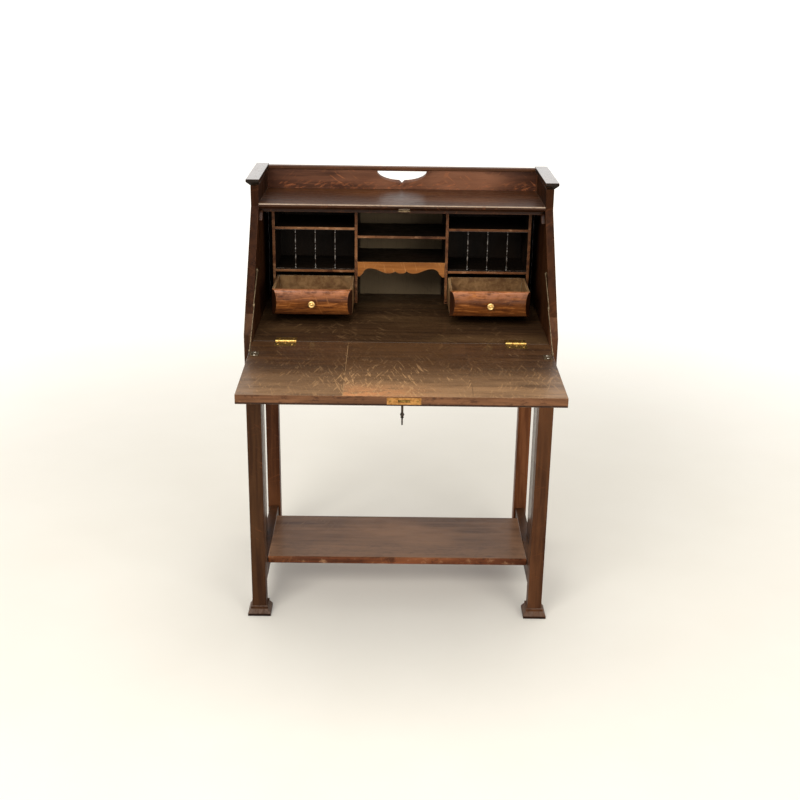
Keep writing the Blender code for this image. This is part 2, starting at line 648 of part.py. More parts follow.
def build_drawer(word, side, desk):
    """One shallow drawer in its own space: x from its middle, y from its front's back face."""
    slide = empty(f"{word}_drawer_slide", (side * BAY_CENTRE, DRAWER_OPEN_Y, DRAWER_Z), desk)
    half = DRAWER_WIDTH / 2
    swell = DRAWER_FRONT_BULGE
    edge = DRAWER_FRONT_EDGE
    steps = 8
    crown = []
    for index in range(steps + 1):
        turn = math.pi * index / steps
        crown.append((-edge - swell * math.sin(turn), DRAWER_HEIGHT * (1 - math.cos(turn)) / 2))
    outline = [(0, 0)] + crown + [(0, DRAWER_HEIGHT)]
    front = place(f"{word}_drawer_front", flat_mesh("drawer_front", [outline], DRAWER_WIDTH), DRAWER_OAK,
                  slide, rotation=SIDEWAYS)
    depth = edge + swell
    for end in (-1, 1):
        corner = [(end * half, -edge / 2), (end * (half - DRAWER_END_BEVEL), -depth - GAP),
                  (end * (half + depth), -depth - GAP), (end * (half + depth), -edge / 2)]
        wedge = place(f"{word}_drawer_bevel_{end}", flat_mesh("bevel", [corner], 2 * DRAWER_HEIGHT),
                      DRAWER_OAK, slide, (0, 0, DRAWER_HEIGHT / 2))
        cut(front, wedge)
    box_back = DRAWER_LENGTH - edge - swell
    wall_top = DRAWER_HEIGHT - DRAWER_SIDE_DROP
    for hand, way in SIDES:
        low, high = mirrored(way, (half - DRAWER_WALL, GAP, 0), (half, box_back, wall_top))
        board(f"{word}_drawer_{hand}_side", low, high, DRAWER_LINING, slide, 0)
    inside = half - DRAWER_WALL - GAP
    board(f"{word}_drawer_back", (-inside, box_back - DRAWER_WALL, 0), (inside, box_back, wall_top),
          DRAWER_LINING, slide, 0)
    board(f"{word}_drawer_bottom", (-inside, GAP, 0),
          (inside, box_back - DRAWER_WALL - GAP, DRAWER_BOTTOM_THICK), DRAWER_LINING, slide, 0)
    knob = [(KNOB_RADIUS * swelling, KNOB_LENGTH * share) for swelling, share in KNOB_SHARES]
    turned(f"{word}_drawer_knob", knob, BRASS, slide, (0, -depth - GAP, DRAWER_HEIGHT / 2), TO_FRONT)


def rod(name, radius, half_length, material, parent, spot, steps=16):
    """A round bar along X."""
    profile = [(0, half_length), (radius, half_length), (radius, -half_length), (0, -half_length)]
    return turned(name, profile, material, parent, spot, TO_RIGHT, steps)


def build_leaf(name, x, base, way, parent, panel):
    """One hinge leaf let in flush with a panel, behind (+1) or before (-1) the hinge line."""
    half = HINGE_LENGTH / 2
    near = base.x + way * (HINGE_BARREL + 2 * GAP)
    far = base.x + way * HINGE_LEAF
    leaf = board(name, (x - half, min(near, far), base.y - HINGE_LEAF_THICK),
                 (x + half, max(near, far), base.y), BRASS, parent, 0)
    open_side = base.x - way * POST
    sunk_edge = far + way * GAP
    floor = base.y - HINGE_LEAF_THICK - GAP
    recess = board(f"{name}_recess", (x - half - GAP, min(open_side, sunk_edge), floor),
                   (x + half + GAP, max(open_side, sunk_edge), base.y + POST), BRASS, parent, 0)
    cut(panel, recess)
    room = rod(f"{name}_room", HINGE_BARREL + 2 * GAP, half + GAP, BRASS, parent, (x, base.x, base.y))
    cut(panel, room)
    return leaf


def build_knuckle(leaf, name, x, base, way, parent):
    """A barrel on the hinge line, and the web that joins it to its leaf."""
    half = HINGE_LENGTH / 6 - GAP
    reach = base.x + way * (HINGE_BARREL + HINGE_LEAF_THICK)
    web_low = (x - half + GAP, min(base.x, reach), base.y - HINGE_LEAF_THICK + GAP)
    web_high = (x + half - GAP, max(base.x, reach), base.y - GAP)
    fuse(leaf, board(f"{name}_web", web_low, web_high, BRASS, parent, 0))
    fuse(leaf, rod(name, HINGE_BARREL, half, BRASS, parent, (x, base.x, base.y)))


def build_hinges(desk, lid_pivot, bed, lid):
    """Two butt hinges; each pin is riveted solid with the bed leaf's outer knuckles."""
    third = HINGE_LENGTH / 3
    origin = Vector((0, 0))
    for word, side in SIDES:
        x = side * HINGE_X
        bed_leaf = build_leaf(f"{word}_bed_hinge_leaf", x, HINGE, 1, desk, bed)
        for end in (-1, 1):
            build_knuckle(bed_leaf, f"{word}_knuckle_{end}", x + end * third, HINGE, 1, desk)
        fuse(bed_leaf, rod(f"{word}_hinge_pin", HINGE_PIN, third, BRASS, desk, (x, HINGE.x, HINGE.y), 12))
        lid_leaf = build_leaf(f"{word}_lid_hinge_leaf", x, origin, -1, lid_pivot, lid)
        build_knuckle(lid_leaf, f"{word}_knuckle", x, origin, -1, lid_pivot)
        bore = rod(f"{word}_knuckle_bore", HINGE_PIN + RUNNING_FIT, third, BRASS, lid_pivot, (x, 0, 0), 12)
        cut(lid_leaf, bore)


def stay_mesh(name, length):
    """A flat arm with a round eye at each end; one eye is bored for its pivot."""
    wide, eye = STAY_HALF_WIDTH, STAY_EYE
    spread = math.degrees(math.asin(wide / eye))
    outer = arc((0, 0), eye, spread, 360 - spread, 12)
    outer += arc((length, 0), eye, 180 + spread, 540 - spread, 12)
    bore = circle((0, 0), STAY_PIVOT + RUNNING_FIT, 12)
    return flat_mesh(name, [outer, bore], STAY_THICK)


def pivot_profile(base):
    """A rosette, its pivot and the riveted head that keeps the arm on it."""
    arm_top = base + 2 * GAP + STAY_THICK
    return [(0, arm_top + STAY_HEAD_THICK), (STAY_HEAD_CROWN, arm_top + STAY_HEAD_THICK),
            (STAY_HEAD, arm_top), (STAY_PIVOT, arm_top), (STAY_PIVOT, base), (STAY_ROSETTE, base),
            (STAY_ROSETTE, 0), (0, 0)]


def build_stays(desk, lid_pivot):
    """Two folding stays. Each arm carries its own half of the knee's rivet."""
    anchor = Vector((STAY_UPPER_Y, STAY_UPPER_Z))
    droop = Matrix.Rotation(LID_DROOP, 2)
    foot = HINGE + droop @ Vector((-STAY_FOOT_REACH, STAY_FOOT_RISE))
    run = foot - anchor
    lower_length = run.length - STAY_UPPER_LENGTH
    down = math.atan2(run.y, run.x)
    up = math.atan2(-run.y, -run.x) - LID_DROOP
    foot_local = (-STAY_FOOT_REACH, STAY_FOOT_RISE)
    rivet = [(0, STAY_HEAD_THICK), (STAY_HEAD_CROWN, STAY_HEAD_THICK), (STAY_HEAD, 0), (0, 0)]
    for word, side in SIDES:
        inward = TO_LEFT if side > 0 else TO_RIGHT
        outward = TO_RIGHT if side > 0 else TO_LEFT
        turned(f"{word}_stay_rosette", pivot_profile(STAY_ROSETTE_THICK), STEEL, desk,
               (side * (INNER - GAP), anchor.x, anchor.y), inward, 12)
        upper_axis = empty(f"{word}_upper_stay_axis", (side * STAY_X, anchor.x, anchor.y), desk, down)
        place(f"{word}_upper_stay", stay_mesh("upper_stay", STAY_UPPER_LENGTH), STEEL, upper_axis,
              rotation=SIDEWAYS)
        lower_axis = empty(f"{word}_lower_stay_axis", (side * STAY_LOWER_X, *foot_local), lid_pivot, up)
        lower = place(f"{word}_lower_stay", stay_mesh("lower_stay", lower_length), STEEL, lower_axis,
                      rotation=SIDEWAYS)
        knee = turned(f"{word}_knee_rivet", rivet, STEEL, lower_axis,
                      (-side * (STAY_THICK / 2 - GAP), lower_length, 0), inward, 12)
        fuse(lower, knee)
        build_bracket(f"{word}_stay_bracket", side, lid_pivot, foot_local, outward)


def build_bracket(name, side, lid_pivot, foot_local, outward):
    """A plate on the lid with an upstanding lug that holds the lower arm's pivot."""
    lug_face = STAY_LOWER_X - STAY_THICK / 2 - GAP
    plate_low, plate_high = mirrored(
        side, (lug_face - BRACKET_WIDTH, foot_local[0] - BRACKET_LENGTH / 2, GAP),
        (lug_face, foot_local[0] + BRACKET_LENGTH / 2, GAP + BRACKET_THICK))
    plate = board(name, plate_low, plate_high, STEEL, lid_pivot, 0)
    low, high = mirrored(side, (lug_face - BRACKET_THICK, foot_local[0] - STAY_EYE, GAP),
                         (lug_face, foot_local[0] + STAY_EYE, foot_local[1] + STAY_EYE))
    fuse(plate, board(f"{name}_lug", low, high, STEEL, lid_pivot, 0))
    tip = STAY_THICK + 2 * GAP
    pin = [(0, tip + STAY_HEAD_THICK), (STAY_HEAD_CROWN, tip + STAY_HEAD_THICK), (STAY_HEAD, tip),
           (STAY_PIVOT, tip), (STAY_PIVOT, -BRACKET_THICK / 2), (0, -BRACKET_THICK / 2)]
    fuse(plate, turned(f"{name}_pivot", pin, STEEL, lid_pivot, (side * lug_face, *foot_local), outward, 12))


def build_lid(lid_pivot):
    return board("lid", (-LID_HALF, -LID_REACH, -LID_THICK), (LID_HALF, -LID_HEEL_CLEARANCE, 0), LID_OAK,
                 lid_pivot)


def build_lock(lid_pivot, lid):
    """The lock is let into the lid's free end, with its plate flush in the edge."""
    z = -LOCK_DEPTH
    half_plate = LOCK_PLATE_LENGTH / 2
    low = Vector((LOCK_X - half_plate, -LID_REACH, z - LOCK_PLATE_HEIGHT / 2))
    high = Vector((LOCK_X + half_plate, -LID_REACH + LOCK_PLATE_THICK, z + LOCK_PLATE_HEIGHT / 2))
    slack = Vector((GAP, GAP, GAP))
    cut(lid, board("lock_recess", low - slack - Vector((0, POST, 0)), high + slack, BRASS, lid_pivot, 0))
    plate = board("lock_plate", low, high, BRASS, lid_pivot, 0)
    play = 2 * GAP
    wide, tall = BOLT_WIDTH / 2 + play, BOLT_THICK / 2 + play
    mortise_low = (LOCK_X - wide, -LID_REACH - POST, z - tall)
    mortise_high = (LOCK_X + wide, -LID_REACH + BOLT_LENGTH + play, z + tall)
    cut(lid, board("bolt_mortise", mortise_low, mortise_high, BRASS, lid_pivot, 0))
    cut(plate, board("bolt_slot", mortise_low, mortise_high, BRASS, lid_pivot, 0))
    bolt_axis = empty("bolt_slide", (LOCK_X, -LID_REACH, z), lid_pivot)
    board("lock_bolt", (-BOLT_WIDTH / 2, GAP, -BOLT_THICK / 2),
          (BOLT_WIDTH / 2, BOLT_LENGTH, BOLT_THICK / 2), BRASS, bolt_axis, 0)
    build_key(lid_pivot, lid)


def build_key(lid_pivot, lid):
    """The key hangs in the lid's outer face: turned stem, pierced bow and bit."""
    spot = (KEY_X, -LID_REACH + KEY_BACKSET, -LID_THICK)
    axis = empty("key_axis", spot, lid_pivot)
    hole = [(0, KEY_INSERT + 2 * GAP), (KEY_HOLE, KEY_INSERT + 2 * GAP), (KEY_HOLE, -POST), (0, -POST)]
    cut(lid, turned("key_hole", hole, IRON, lid_pivot, spot))
    shank = KEY_SHANK
    stem = KEY_LENGTH - KEY_BOW_LENGTH
    neck = KEY_COLLAR_DROP + KEY_COLLAR_HEIGHT
    ring = KEY_RING_DROP
    turning = [(0, KEY_INSERT), (shank, KEY_INSERT), (shank, -KEY_COLLAR_DROP),
               (KEY_COLLAR, -KEY_COLLAR_DROP - KEY_COLLAR_HEIGHT / 4),
               (KEY_COLLAR, -neck + KEY_COLLAR_HEIGHT / 4), (shank, -neck),
               (shank, -ring + KEY_RING_HEIGHT / 2), (KEY_RING, -ring),
               (shank, -ring - KEY_RING_HEIGHT / 2), (shank, -stem - shank), (0, -stem - shank)]
    key = turned("key", turning, IRON, axis, steps=12)
    middle = -stem - KEY_BOW_LENGTH / 2

    def oval(half_width, half_length, count):
        return [(x * half_width, middle + y * half_length) for x, y in circle((0, 0), 1, count)]

    bow = [oval(KEY_BOW_HALF_WIDTH, KEY_BOW_LENGTH / 2, 16),
           oval(KEY_BOW_HALF_WIDTH - KEY_BOW_RIM, KEY_BOW_LENGTH / 2 - KEY_BOW_RIM, 12)]
    fuse(key, place("key_bow", flat_mesh("key_bow", bow, KEY_BOW_THICK), IRON, axis, rotation=SIDEWAYS))
    fuse(key, board("key_bit", (0, -KEY_BIT_THICK / 2, KEY_BIT_START),
                    (KEY_HOLE - 3 * GAP, KEY_BIT_THICK / 2, KEY_BIT_START + KEY_BIT_LENGTH), IRON, axis, 0))


def main():
    clear_scene()
    desk = empty("carcass", (0, -ORIGIN_Y, 0))
    build_posts(desk)
    build_sides(desk)
    build_stretcher(desk)
    bed = build_case(desk)
    build_unit(desk)
    for word, side in SIDES:
        build_drawer(word, side, desk)
    lid_pivot = empty("lid_hinge_line", (0, HINGE.x, HINGE.y), desk, LID_DROOP)
    lid = build_lid(lid_pivot)
    build_hinges(desk, lid_pivot, bed, lid)
    build_stays(desk, lid_pivot)
    build_lock(lid_pivot, lid)


main()
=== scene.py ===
"""Looks of the fall-front secretary: stained oak, brass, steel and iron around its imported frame."""
import json
import math

import bmesh
import bpy
from mathutils import Matrix, Vector


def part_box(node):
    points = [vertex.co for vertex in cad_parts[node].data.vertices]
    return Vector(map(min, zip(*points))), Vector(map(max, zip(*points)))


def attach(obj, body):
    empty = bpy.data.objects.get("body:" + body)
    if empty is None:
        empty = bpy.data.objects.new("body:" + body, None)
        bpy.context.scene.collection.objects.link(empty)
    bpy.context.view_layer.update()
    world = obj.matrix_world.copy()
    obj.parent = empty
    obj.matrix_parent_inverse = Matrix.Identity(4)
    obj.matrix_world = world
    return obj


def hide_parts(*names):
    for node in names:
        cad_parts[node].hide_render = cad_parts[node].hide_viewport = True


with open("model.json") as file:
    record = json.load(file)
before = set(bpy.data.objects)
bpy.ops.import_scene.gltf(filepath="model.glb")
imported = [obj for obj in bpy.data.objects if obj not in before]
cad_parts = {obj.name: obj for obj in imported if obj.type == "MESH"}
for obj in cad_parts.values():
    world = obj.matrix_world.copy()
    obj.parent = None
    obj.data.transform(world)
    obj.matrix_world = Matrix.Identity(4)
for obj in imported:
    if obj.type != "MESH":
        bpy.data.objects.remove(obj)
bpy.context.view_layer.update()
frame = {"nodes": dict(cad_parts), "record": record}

# Whose body and finish each frame node has, and where each joint sits
BODIES = frame["record"]["behaviour"]["bodies"]
BODY_OF = {node: body for body, nodes in BODIES.items() for node in nodes}
SLOT_OF = {row["node"]: row["material_slot"] for row in frame["record"]["subparts"]}
JOINTS = {row["name"]: row for row in frame["record"]["behaviour"]["joints"]}
SIDES = (("left", -1), ("right", 1))
LID_HINGE = Vector(JOINTS["lid_fall"]["pos_m"])
LID_DROOP = math.asin(-JOINTS["key_turn"]["axis"][1])
LID_FRAME = Matrix.Translation(LID_HINGE) @ Matrix.Rotation(LID_DROOP, 4, "X")
KEY_FRAME = Matrix.Translation(JOINTS["key_turn"]["pos_m"]) @ Matrix.Rotation(LID_DROOP, 4, "X")
LOCK_MIDDLE = sum(corner[0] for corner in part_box("lock_plate")) / 2
LID_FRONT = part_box("lid")[0][1]
TOP_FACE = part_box("top_board")[1][2]

# Camera, fitted to the desk's straight edges
CAMERA_PLACE = Vector((-0.02286, -2.55174, 1.47879))
CAMERA_PITCH = math.radians(20.4218)
CAMERA_YAW = math.radians(0.5165)
CAMERA_ROLL = math.radians(0.8569)
FOCAL_PIXELS = 1189.55
FRAME_PIXELS = 800
SENSOR = 36.0

# Joinery, metres
ROUNDING = 0.0008
TOP_NOSE = 0.0034
FLUSH = 0.0001
WELD = 0.00001
FINE_WELD = 0.000002
METAL_ROUNDING = 0.0002
ARRIS_FROM = math.radians(32)
LID_SEAMS = (-0.1155, 0.1405)
LID_THICK = 0.0202
LID_REACH = 0.3220
CENTRE_BAY = 0.104
PIERCING_HALF = 0.062
PIERCING_TOP = 0.0028
PIERCING_DROP = 0.038
PIERCING_BACK_SHARE = 0.84
FOOT_TOP = 0.0225
FOOT_PLINTH = 0.0060
SPINDLE_STRIP = 0.0012
PLANK_SHIFT = 0.731
FIRST_SPINDLE_PLANK = 60

# Fittings, metres; shares are of a screw's radius
BARREL_REACH = 0.0034
SCREW_DEPTH = 0.0010
SCREW_TAPER = 0.86
SLOT_HALF_SHARE = 0.15
SLOT_INSET_SHARE = 0.06
SLOT_SINK_SHARE = 0.22
FIRST_SLOT_TURN = 0.5
NEXT_SLOT_TURN = 1.9
SMALL_SCREW = 0.0026
BRACKET_SCREW = 0.0030
HINGE_SCREWS = ((-0.0155, 0.0215), (0.0, 0.0130), (0.0155, 0.0215))
BRACKET_SCREWS = (-0.0080, 0.0080)
BRACKET_TOP = 0.0015
BRACKET_INSET = 0.0085
LOCK_SCREWS = 0.0268
LOCK_SCREW_SINK = 0.0004
STRIKE_BEHIND_HINGE = 0.2130
STRIKE_BELOW_RAIL = 0.0034
STRIKE_SIZE = (0.0150, 0.0026, 0.0012, 1.0)
NAIL_INSET = 0.012
NAIL_SHARES = (0.02, 0.26, 0.5, 0.74, 0.98)
BOW_WIRE = 0.0016
BOW_HALF_WIDTH = 0.0068
BOW_HALF_LENGTH = 0.0066
BOW_MIDDLE = -0.0418
BIT_PLACE = (0.0033, 0, 0.00575)
BIT_SIZE = (0.0066, 0.0021, 0.0055, 1.0)

# Stage, metres
FLOOR_REACH = 80.0
FLOOR_DROP = 0.0005
FLOOR_WHITENS = (0.7, 3.6)
LIGHTS_AIM = (0.0, 0.0, 0.6)


def corners(node):
    """A frame node's lowest and highest corner."""
    return [Vector(corner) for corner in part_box(node)]


def stain(red, green, blue):
    """A colour as the eye reads it, 0 to 255, in the linear values that shaders take."""
    def linear(value):
        share = value / 255
        return share / 12.92 if share <= 0.04045 else ((share + 0.055) / 1.055) ** 2.4
    return (linear(red), linear(green), linear(blue), 1.0)


class Recipe:
    """A finish being mixed: its node tree, and short calls for the nodes that the finishes share."""

    def __init__(self, name):
        self.material = bpy.data.materials.new(name)
        self.material.use_nodes = True
        self.tree = self.material.node_tree
        self.shader = self.tree.nodes["Principled BSDF"]

    def feed(self, socket, value):
        if isinstance(value, bpy.types.NodeSocket):
            self.tree.links.new(value, socket)
        else:
            socket.default_value = value

    def node(self, kind, inputs, **settings):
        made = self.tree.nodes.new("ShaderNode" + kind)
        for key, value in settings.items():
            setattr(made, key, value)
        for key, value in inputs.items():
            self.feed(made.inputs[key], value)
        return made

    def maths(self, operation, first, second=0.0):
        return self.node("Math", {0: first, 1: second}, operation=operation, use_clamp=True).outputs[0]

    def signed(self, operation, first, second=0.0, third=0.0):
        return self.node("Math", {0: first, 1: second, 2: third}, operation=operation).outputs[0]

    def times(self, *shares):
        product = shares[0]
        for share in shares[1:]:
            product = self.maths("MULTIPLY", product, share)
        return product

    def noise(self, where, scale, detail=4.0, roughness=0.55, distortion=0.0):
        return self.node("TexNoise", {"Vector": self.stretch(where, scale), "Scale": 1.0, "Detail": detail,
                                      "Roughness": roughness, "Distortion": distortion}).outputs["Fac"]

    def between(self, value, low, high):
        """Smooth step of a value from 0 at low to 1 at high."""
        return self.node("MapRange", {"Value": value, "From Min": low, "From Max": high},
                         interpolation_type="SMOOTHSTEP").outputs["Result"]

    def mix(self, share, first, second):
        return self.node("Mix", {0: share, 6: first, 7: second}, data_type="RGBA").outputs[2]

    def stretch(self, where, scale):
        return self.node("Mapping", {"Vector": where, "Scale": scale}).outputs["Vector"]

    def turned(self, where, turn):
        return self.node("Mapping", {"Vector": where, "Rotation": turn}).outputs["Vector"]

    def object_place(self):
        return self.node("TexCoord", {}).outputs["Object"]

    def object_axes(self):
        return self.node("SeparateXYZ", {"Vector": self.object_place()}).outputs

    def facing(self):
        """How far the surface turns towards x, y and z."""
        normal = self.node("NewGeometry", {}).outputs["Normal"]
        return self.node("SeparateXYZ", {"Vector": normal}).outputs

    def edges(self, radius):
        """1 along arrises, 0 on the flat."""
        soft = self.node("Bevel", {"Radius": radius}, samples=4).outputs["Normal"]
        flat = self.node("NewGeometry", {}).outputs["Normal"]
        turn = self.node("VectorMath", {0: soft, 1: flat}, operation="DOT_PRODUCT").outputs["Value"]
        return self.between(self.signed("SUBTRACT", 1.0, turn), 0.01, 0.16)

    def dents(self, height, strength, depth):
        bump = self.node("Bump", {"Height": height, "Strength": strength, "Distance": depth})
        self.feed(self.shader.inputs["Normal"], bump.outputs["Normal"])

    def blur(self, share, spread, gloss):
        """Roughness that rises above its gloss by a spread where the share is 1."""
        self.feed(self.shader.inputs["Roughness"], self.signed("MULTIPLY_ADD", share, spread, gloss))


def faces_front(normal):
    """A board's front edge, or the back panel's face behind the pigeonholes."""
    return normal.y < -0.6


def faces_under_nosing(normal):
    """The top board's front below its rounded nosing."""
    return normal.y < -0.3 and normal.z < 0.35


def faces_end(normal):
    """A drawer front's left and right ends."""
    return abs(normal.x) > 0.35


def faces_down(normal):
    """The underside at rest, which is the lid's outside."""
    return normal.z < -0.7


def faces_aside(normal):
    """All but a cap's upper face."""
    return normal.z < 0.7


GRAIN_TURN = {"X": (0.0, 0.0, 0.0), "Y": (0.0, 0.0, -math.pi / 2), "Z": (0.0, math.pi / 2, 0.0)}


def grain_place(mix, along, seams):
    """Place in the log: x runs with the grain, each plank has its own stretch, and seams shift it again."""
    wood = mix.turned(mix.object_place(), GRAIN_TURN[along])
    shift = mix.node("Attribute", {}, attribute_name="plank").outputs["Fac"]
    for seam in seams:
        step = mix.maths("GREATER_THAN", mix.object_axes()["X"], seam)
        shift = mix.signed("MULTIPLY_ADD", step, 0.37, shift)
    offset = mix.node("CombineXYZ", {"X": shift, "Y": shift, "Z": shift}).outputs["Vector"]
    return mix.node("VectorMath", {0: wood, 1: offset}, operation="ADD").outputs["Vector"]


def ray_fleck(mix, wood, slant, patch_scale, fleck_from, patch_from):
    """Thin ribbons that cross the grain at a slant, gathered in patches."""
    slanted = mix.turned(wood, (0.0, slant, slant))
    ribbon = mix.noise(slanted, (230.0, 24.0, 24.0), 3.0, 0.5, 0.7)
    patch = mix.noise(wood, patch_scale, 2.0)
    return mix.times(mix.between(ribbon, fleck_from, fleck_from + 0.06),
                     mix.between(patch, patch_from, patch_from + 0.14))


def quartered_oak(name, along, tones, fleck, worn, fleck_share=0.6, fleck_from=0.60, patch_from=0.46,
                  slants=(0.35, -0.60), wear=0.7, gloss=0.32, shine=0.10, coat=0.08, coat_blur=0.14,
                  relief=0.16, gather=None, marks=None, seams=()):
    """Quarter-sawn oak: long grain, open pores, ribbons of ray fleck, rubbed arrises and an old varnish; on
    the top board and the spindles the arrises also carry a painted highlight.
    """
    dark, middle, light = tones
    mix = Recipe(name)
    wood = grain_place(mix, along, seams)
    cloud = mix.noise(wood, (3.0, 9.0, 9.0), 3.0)
    growth = mix.noise(wood, (4.0, 70.0, 70.0), 6.0, 0.62, 0.4)
    pores = mix.noise(wood, (28.0, 620.0, 620.0), 3.0, 0.6)
    scuff = mix.noise(wood, (45.0, 90.0, 90.0), 5.0, 0.7)
    tone = mix.mix(mix.between(growth, 0.34, 0.66), dark, middle)
    tone = mix.mix(mix.between(cloud, 0.45, 0.72), tone, light)
    figure = mix.maths("MAXIMUM", ray_fleck(mix, wood, slants[0], (6.0, 9.0, 9.0), fleck_from, patch_from),
                       ray_fleck(mix, wood, slants[1], (9.0, 6.0, 6.0), fleck_from, patch_from))
    if gather:
        figure = mix.times(figure, gather(mix))
    if marks:
        tone = marks(mix, tone, scuff)
    tone = mix.mix(mix.times(figure, fleck_share), tone, fleck)
    pits = mix.between(pores, 0.60, 0.74)
    tone = mix.mix(mix.times(pits, 0.5), tone, dark)
    # Rubbed arrises take the worn colour; on the top board and the spindles it is pale enough to paint a
    # highlight as well.
    rubbed = mix.times(mix.edges(0.0022), mix.between(scuff, 0.42, 0.66))
    tone = mix.mix(mix.times(rubbed, wear), tone, worn)
    mix.feed(mix.shader.inputs["Base Color"], tone)
    mix.blur(mix.between(scuff, 0.35, 0.75), 0.20, gloss)
    mix.shader.inputs["Specular IOR Level"].default_value = shine
    mix.shader.inputs["Coat Weight"].default_value = coat
    mix.shader.inputs["Coat Roughness"].default_value = coat_blur
    mix.dents(mix.signed("SUBTRACT", growth, mix.times(pits, 0.6)), relief, 0.0005)
    return mix.material


def lid_figure(mix):
    """Share of fleck over the lid: full in the middle plank's front half, faint by the hinges and ends."""
    axes = mix.object_axes()
    near = mix.between(axes["Y"], LID_FRONT + 0.24, LID_FRONT + 0.10)
    forward = mix.signed("MULTIPLY_ADD", near, 0.86, 0.14)
    inside = mix.times(mix.between(axes["X"], LID_SEAMS[0] - 0.03, LID_SEAMS[0]),
                       mix.between(axes["X"], LID_SEAMS[1] + 0.06, LID_SEAMS[1] - 0.02))
    return mix.times(forward, mix.signed("MULTIPLY_ADD", inside, 0.50, 0.50))


def lid_marks(mix, tone, scuff):
    """Old seams across the lid, a rubbed golden patch by the lock, a paler front that is partly wear and
    partly painted sheen, and stray scratches.
    """
    axes = mix.object_axes()
    across, deep = axes["X"], axes["Y"]
    streaks = mix.noise(mix.object_place(), (7.0, 46.0, 46.0), 5.0, 0.6, 0.6)
    past_seam = mix.between(across, LID_SEAMS[0] - 0.002, LID_SEAMS[0] + 0.002)
    plank = mix.signed("MULTIPLY_ADD", past_seam, 0.22, 0.73)
    # The front grows paler: partly wear, partly painted sheen.
    forward = mix.between(deep, LID_FRONT + 0.20, LID_FRONT)
    worn_and_sheen_front = mix.times(forward, mix.between(streaks, 0.06, 0.74), plank)
    middle = mix.between(mix.signed("ABSOLUTE", across), 0.24, 0.02)
    tone = mix.mix(mix.times(middle, 0.2), tone, stain(104, 74, 46))
    tone = mix.mix(worn_and_sheen_front, tone, stain(150, 114, 78))
    inside = mix.times(past_seam, mix.between(across, LID_SEAMS[1] - 0.02, LID_SEAMS[0] + 0.03))
    near = mix.between(deep, LID_FRONT + 0.085, LID_FRONT + 0.005)
    golden = mix.times(inside, near, mix.between(scuff, 0.30, 0.60), 0.8)
    tone = mix.mix(golden, tone, stain(190, 128, 80))
    dashes = mix.between(mix.noise(mix.object_place(), (30.0, 46.0, 30.0), 2.0), 0.40, 0.54)
    for seam, colour in zip(LID_SEAMS, (stain(160, 126, 86), stain(46, 32, 22))):
        away = mix.signed("ABSOLUTE", mix.signed("SUBTRACT", across, seam))
        tone = mix.mix(mix.times(mix.between(away, 0.0010, 0.0004), dashes, 0.55), tone, colour)
    slanted = mix.turned(mix.object_place(), (0.0, 0.0, 1.15))
    lines = mix.noise(slanted, (22.0, 420.0, 420.0), 2.0, 0.5, 0.6)
    return mix.mix(mix.times(mix.between(lines, 0.70, 0.76), 0.5), tone, stain(186, 150, 108))


def lid_edge_marks(mix, tone, scuff):
    """Knocks along the lid's front edge, and painted shade along its lower arris."""
    knocks = mix.noise(mix.object_place(), (60.0, 60.0, 150.0), 4.0, 0.65)
    tone = mix.mix(mix.times(mix.between(knocks, 0.54, 0.66), 0.6), tone, stain(52, 28, 17))
    tone = mix.mix(mix.times(mix.between(scuff, 0.60, 0.74), 0.6), tone, stain(150, 108, 80))
    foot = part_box("lid")[0][2]
    # Painted shade over the lowest few millimetres of the front edge.
    under = mix.between(mix.object_axes()["Z"], foot + 0.0056, foot + 0.0030)
    return mix.mix(mix.times(under, 0.92), tone, stain(30, 16, 10))


def foot_marks(mix, tone, scuff):
    """The feet's upward slopes, paler in patches, and painted shade on their plinths."""
    height = mix.object_axes()["Z"]
    slope = mix.times(mix.between(height, FOOT_TOP + 0.001, FOOT_TOP),
                      mix.between(mix.facing()["Z"], 0.2, 0.45))
    tone = mix.mix(mix.times(slope, mix.between(scuff, 0.25, 0.65), 0.7), tone, stain(118, 98, 85))
    # Painted shade over the feet's plinths.
    plinth_shade = mix.between(height, FOOT_PLINTH + 0.0008, FOOT_PLINTH - 0.0004)
    return mix.mix(mix.times(plinth_shade, 0.8), tone, stain(24, 15, 10))


def side_marks(mix, tone, scuff):
    """The sides' inner faces, painted with shade above the top board, under the caps."""
    inward = mix.signed("MULTIPLY", mix.facing()["X"], mix.object_axes()["X"])
    above = mix.between(mix.object_axes()["Z"], TOP_FACE - 0.002, TOP_FACE + 0.002)
    # Painted shade on the inward faces between the top board and the caps.
    return mix.mix(mix.times(mix.between(inward, -0.1, -0.2), above, 0.75), tone, stain(26, 14, 8))


def top_marks(mix, tone, scuff):
    """The top board's nosing, with a pale painted highlight in patches along the front."""
    turn = mix.facing()
    # A painted highlight where the nosing faces forward and up, broken by the scuffs.
    nosing = mix.times(mix.between(turn["Y"], -0.12, -0.40), mix.between(turn["Z"], 0.15, 0.30))
    return mix.mix(mix.times(nosing, mix.between(scuff, 0.15, 0.50), 0.8), tone, stain(168, 146, 122))


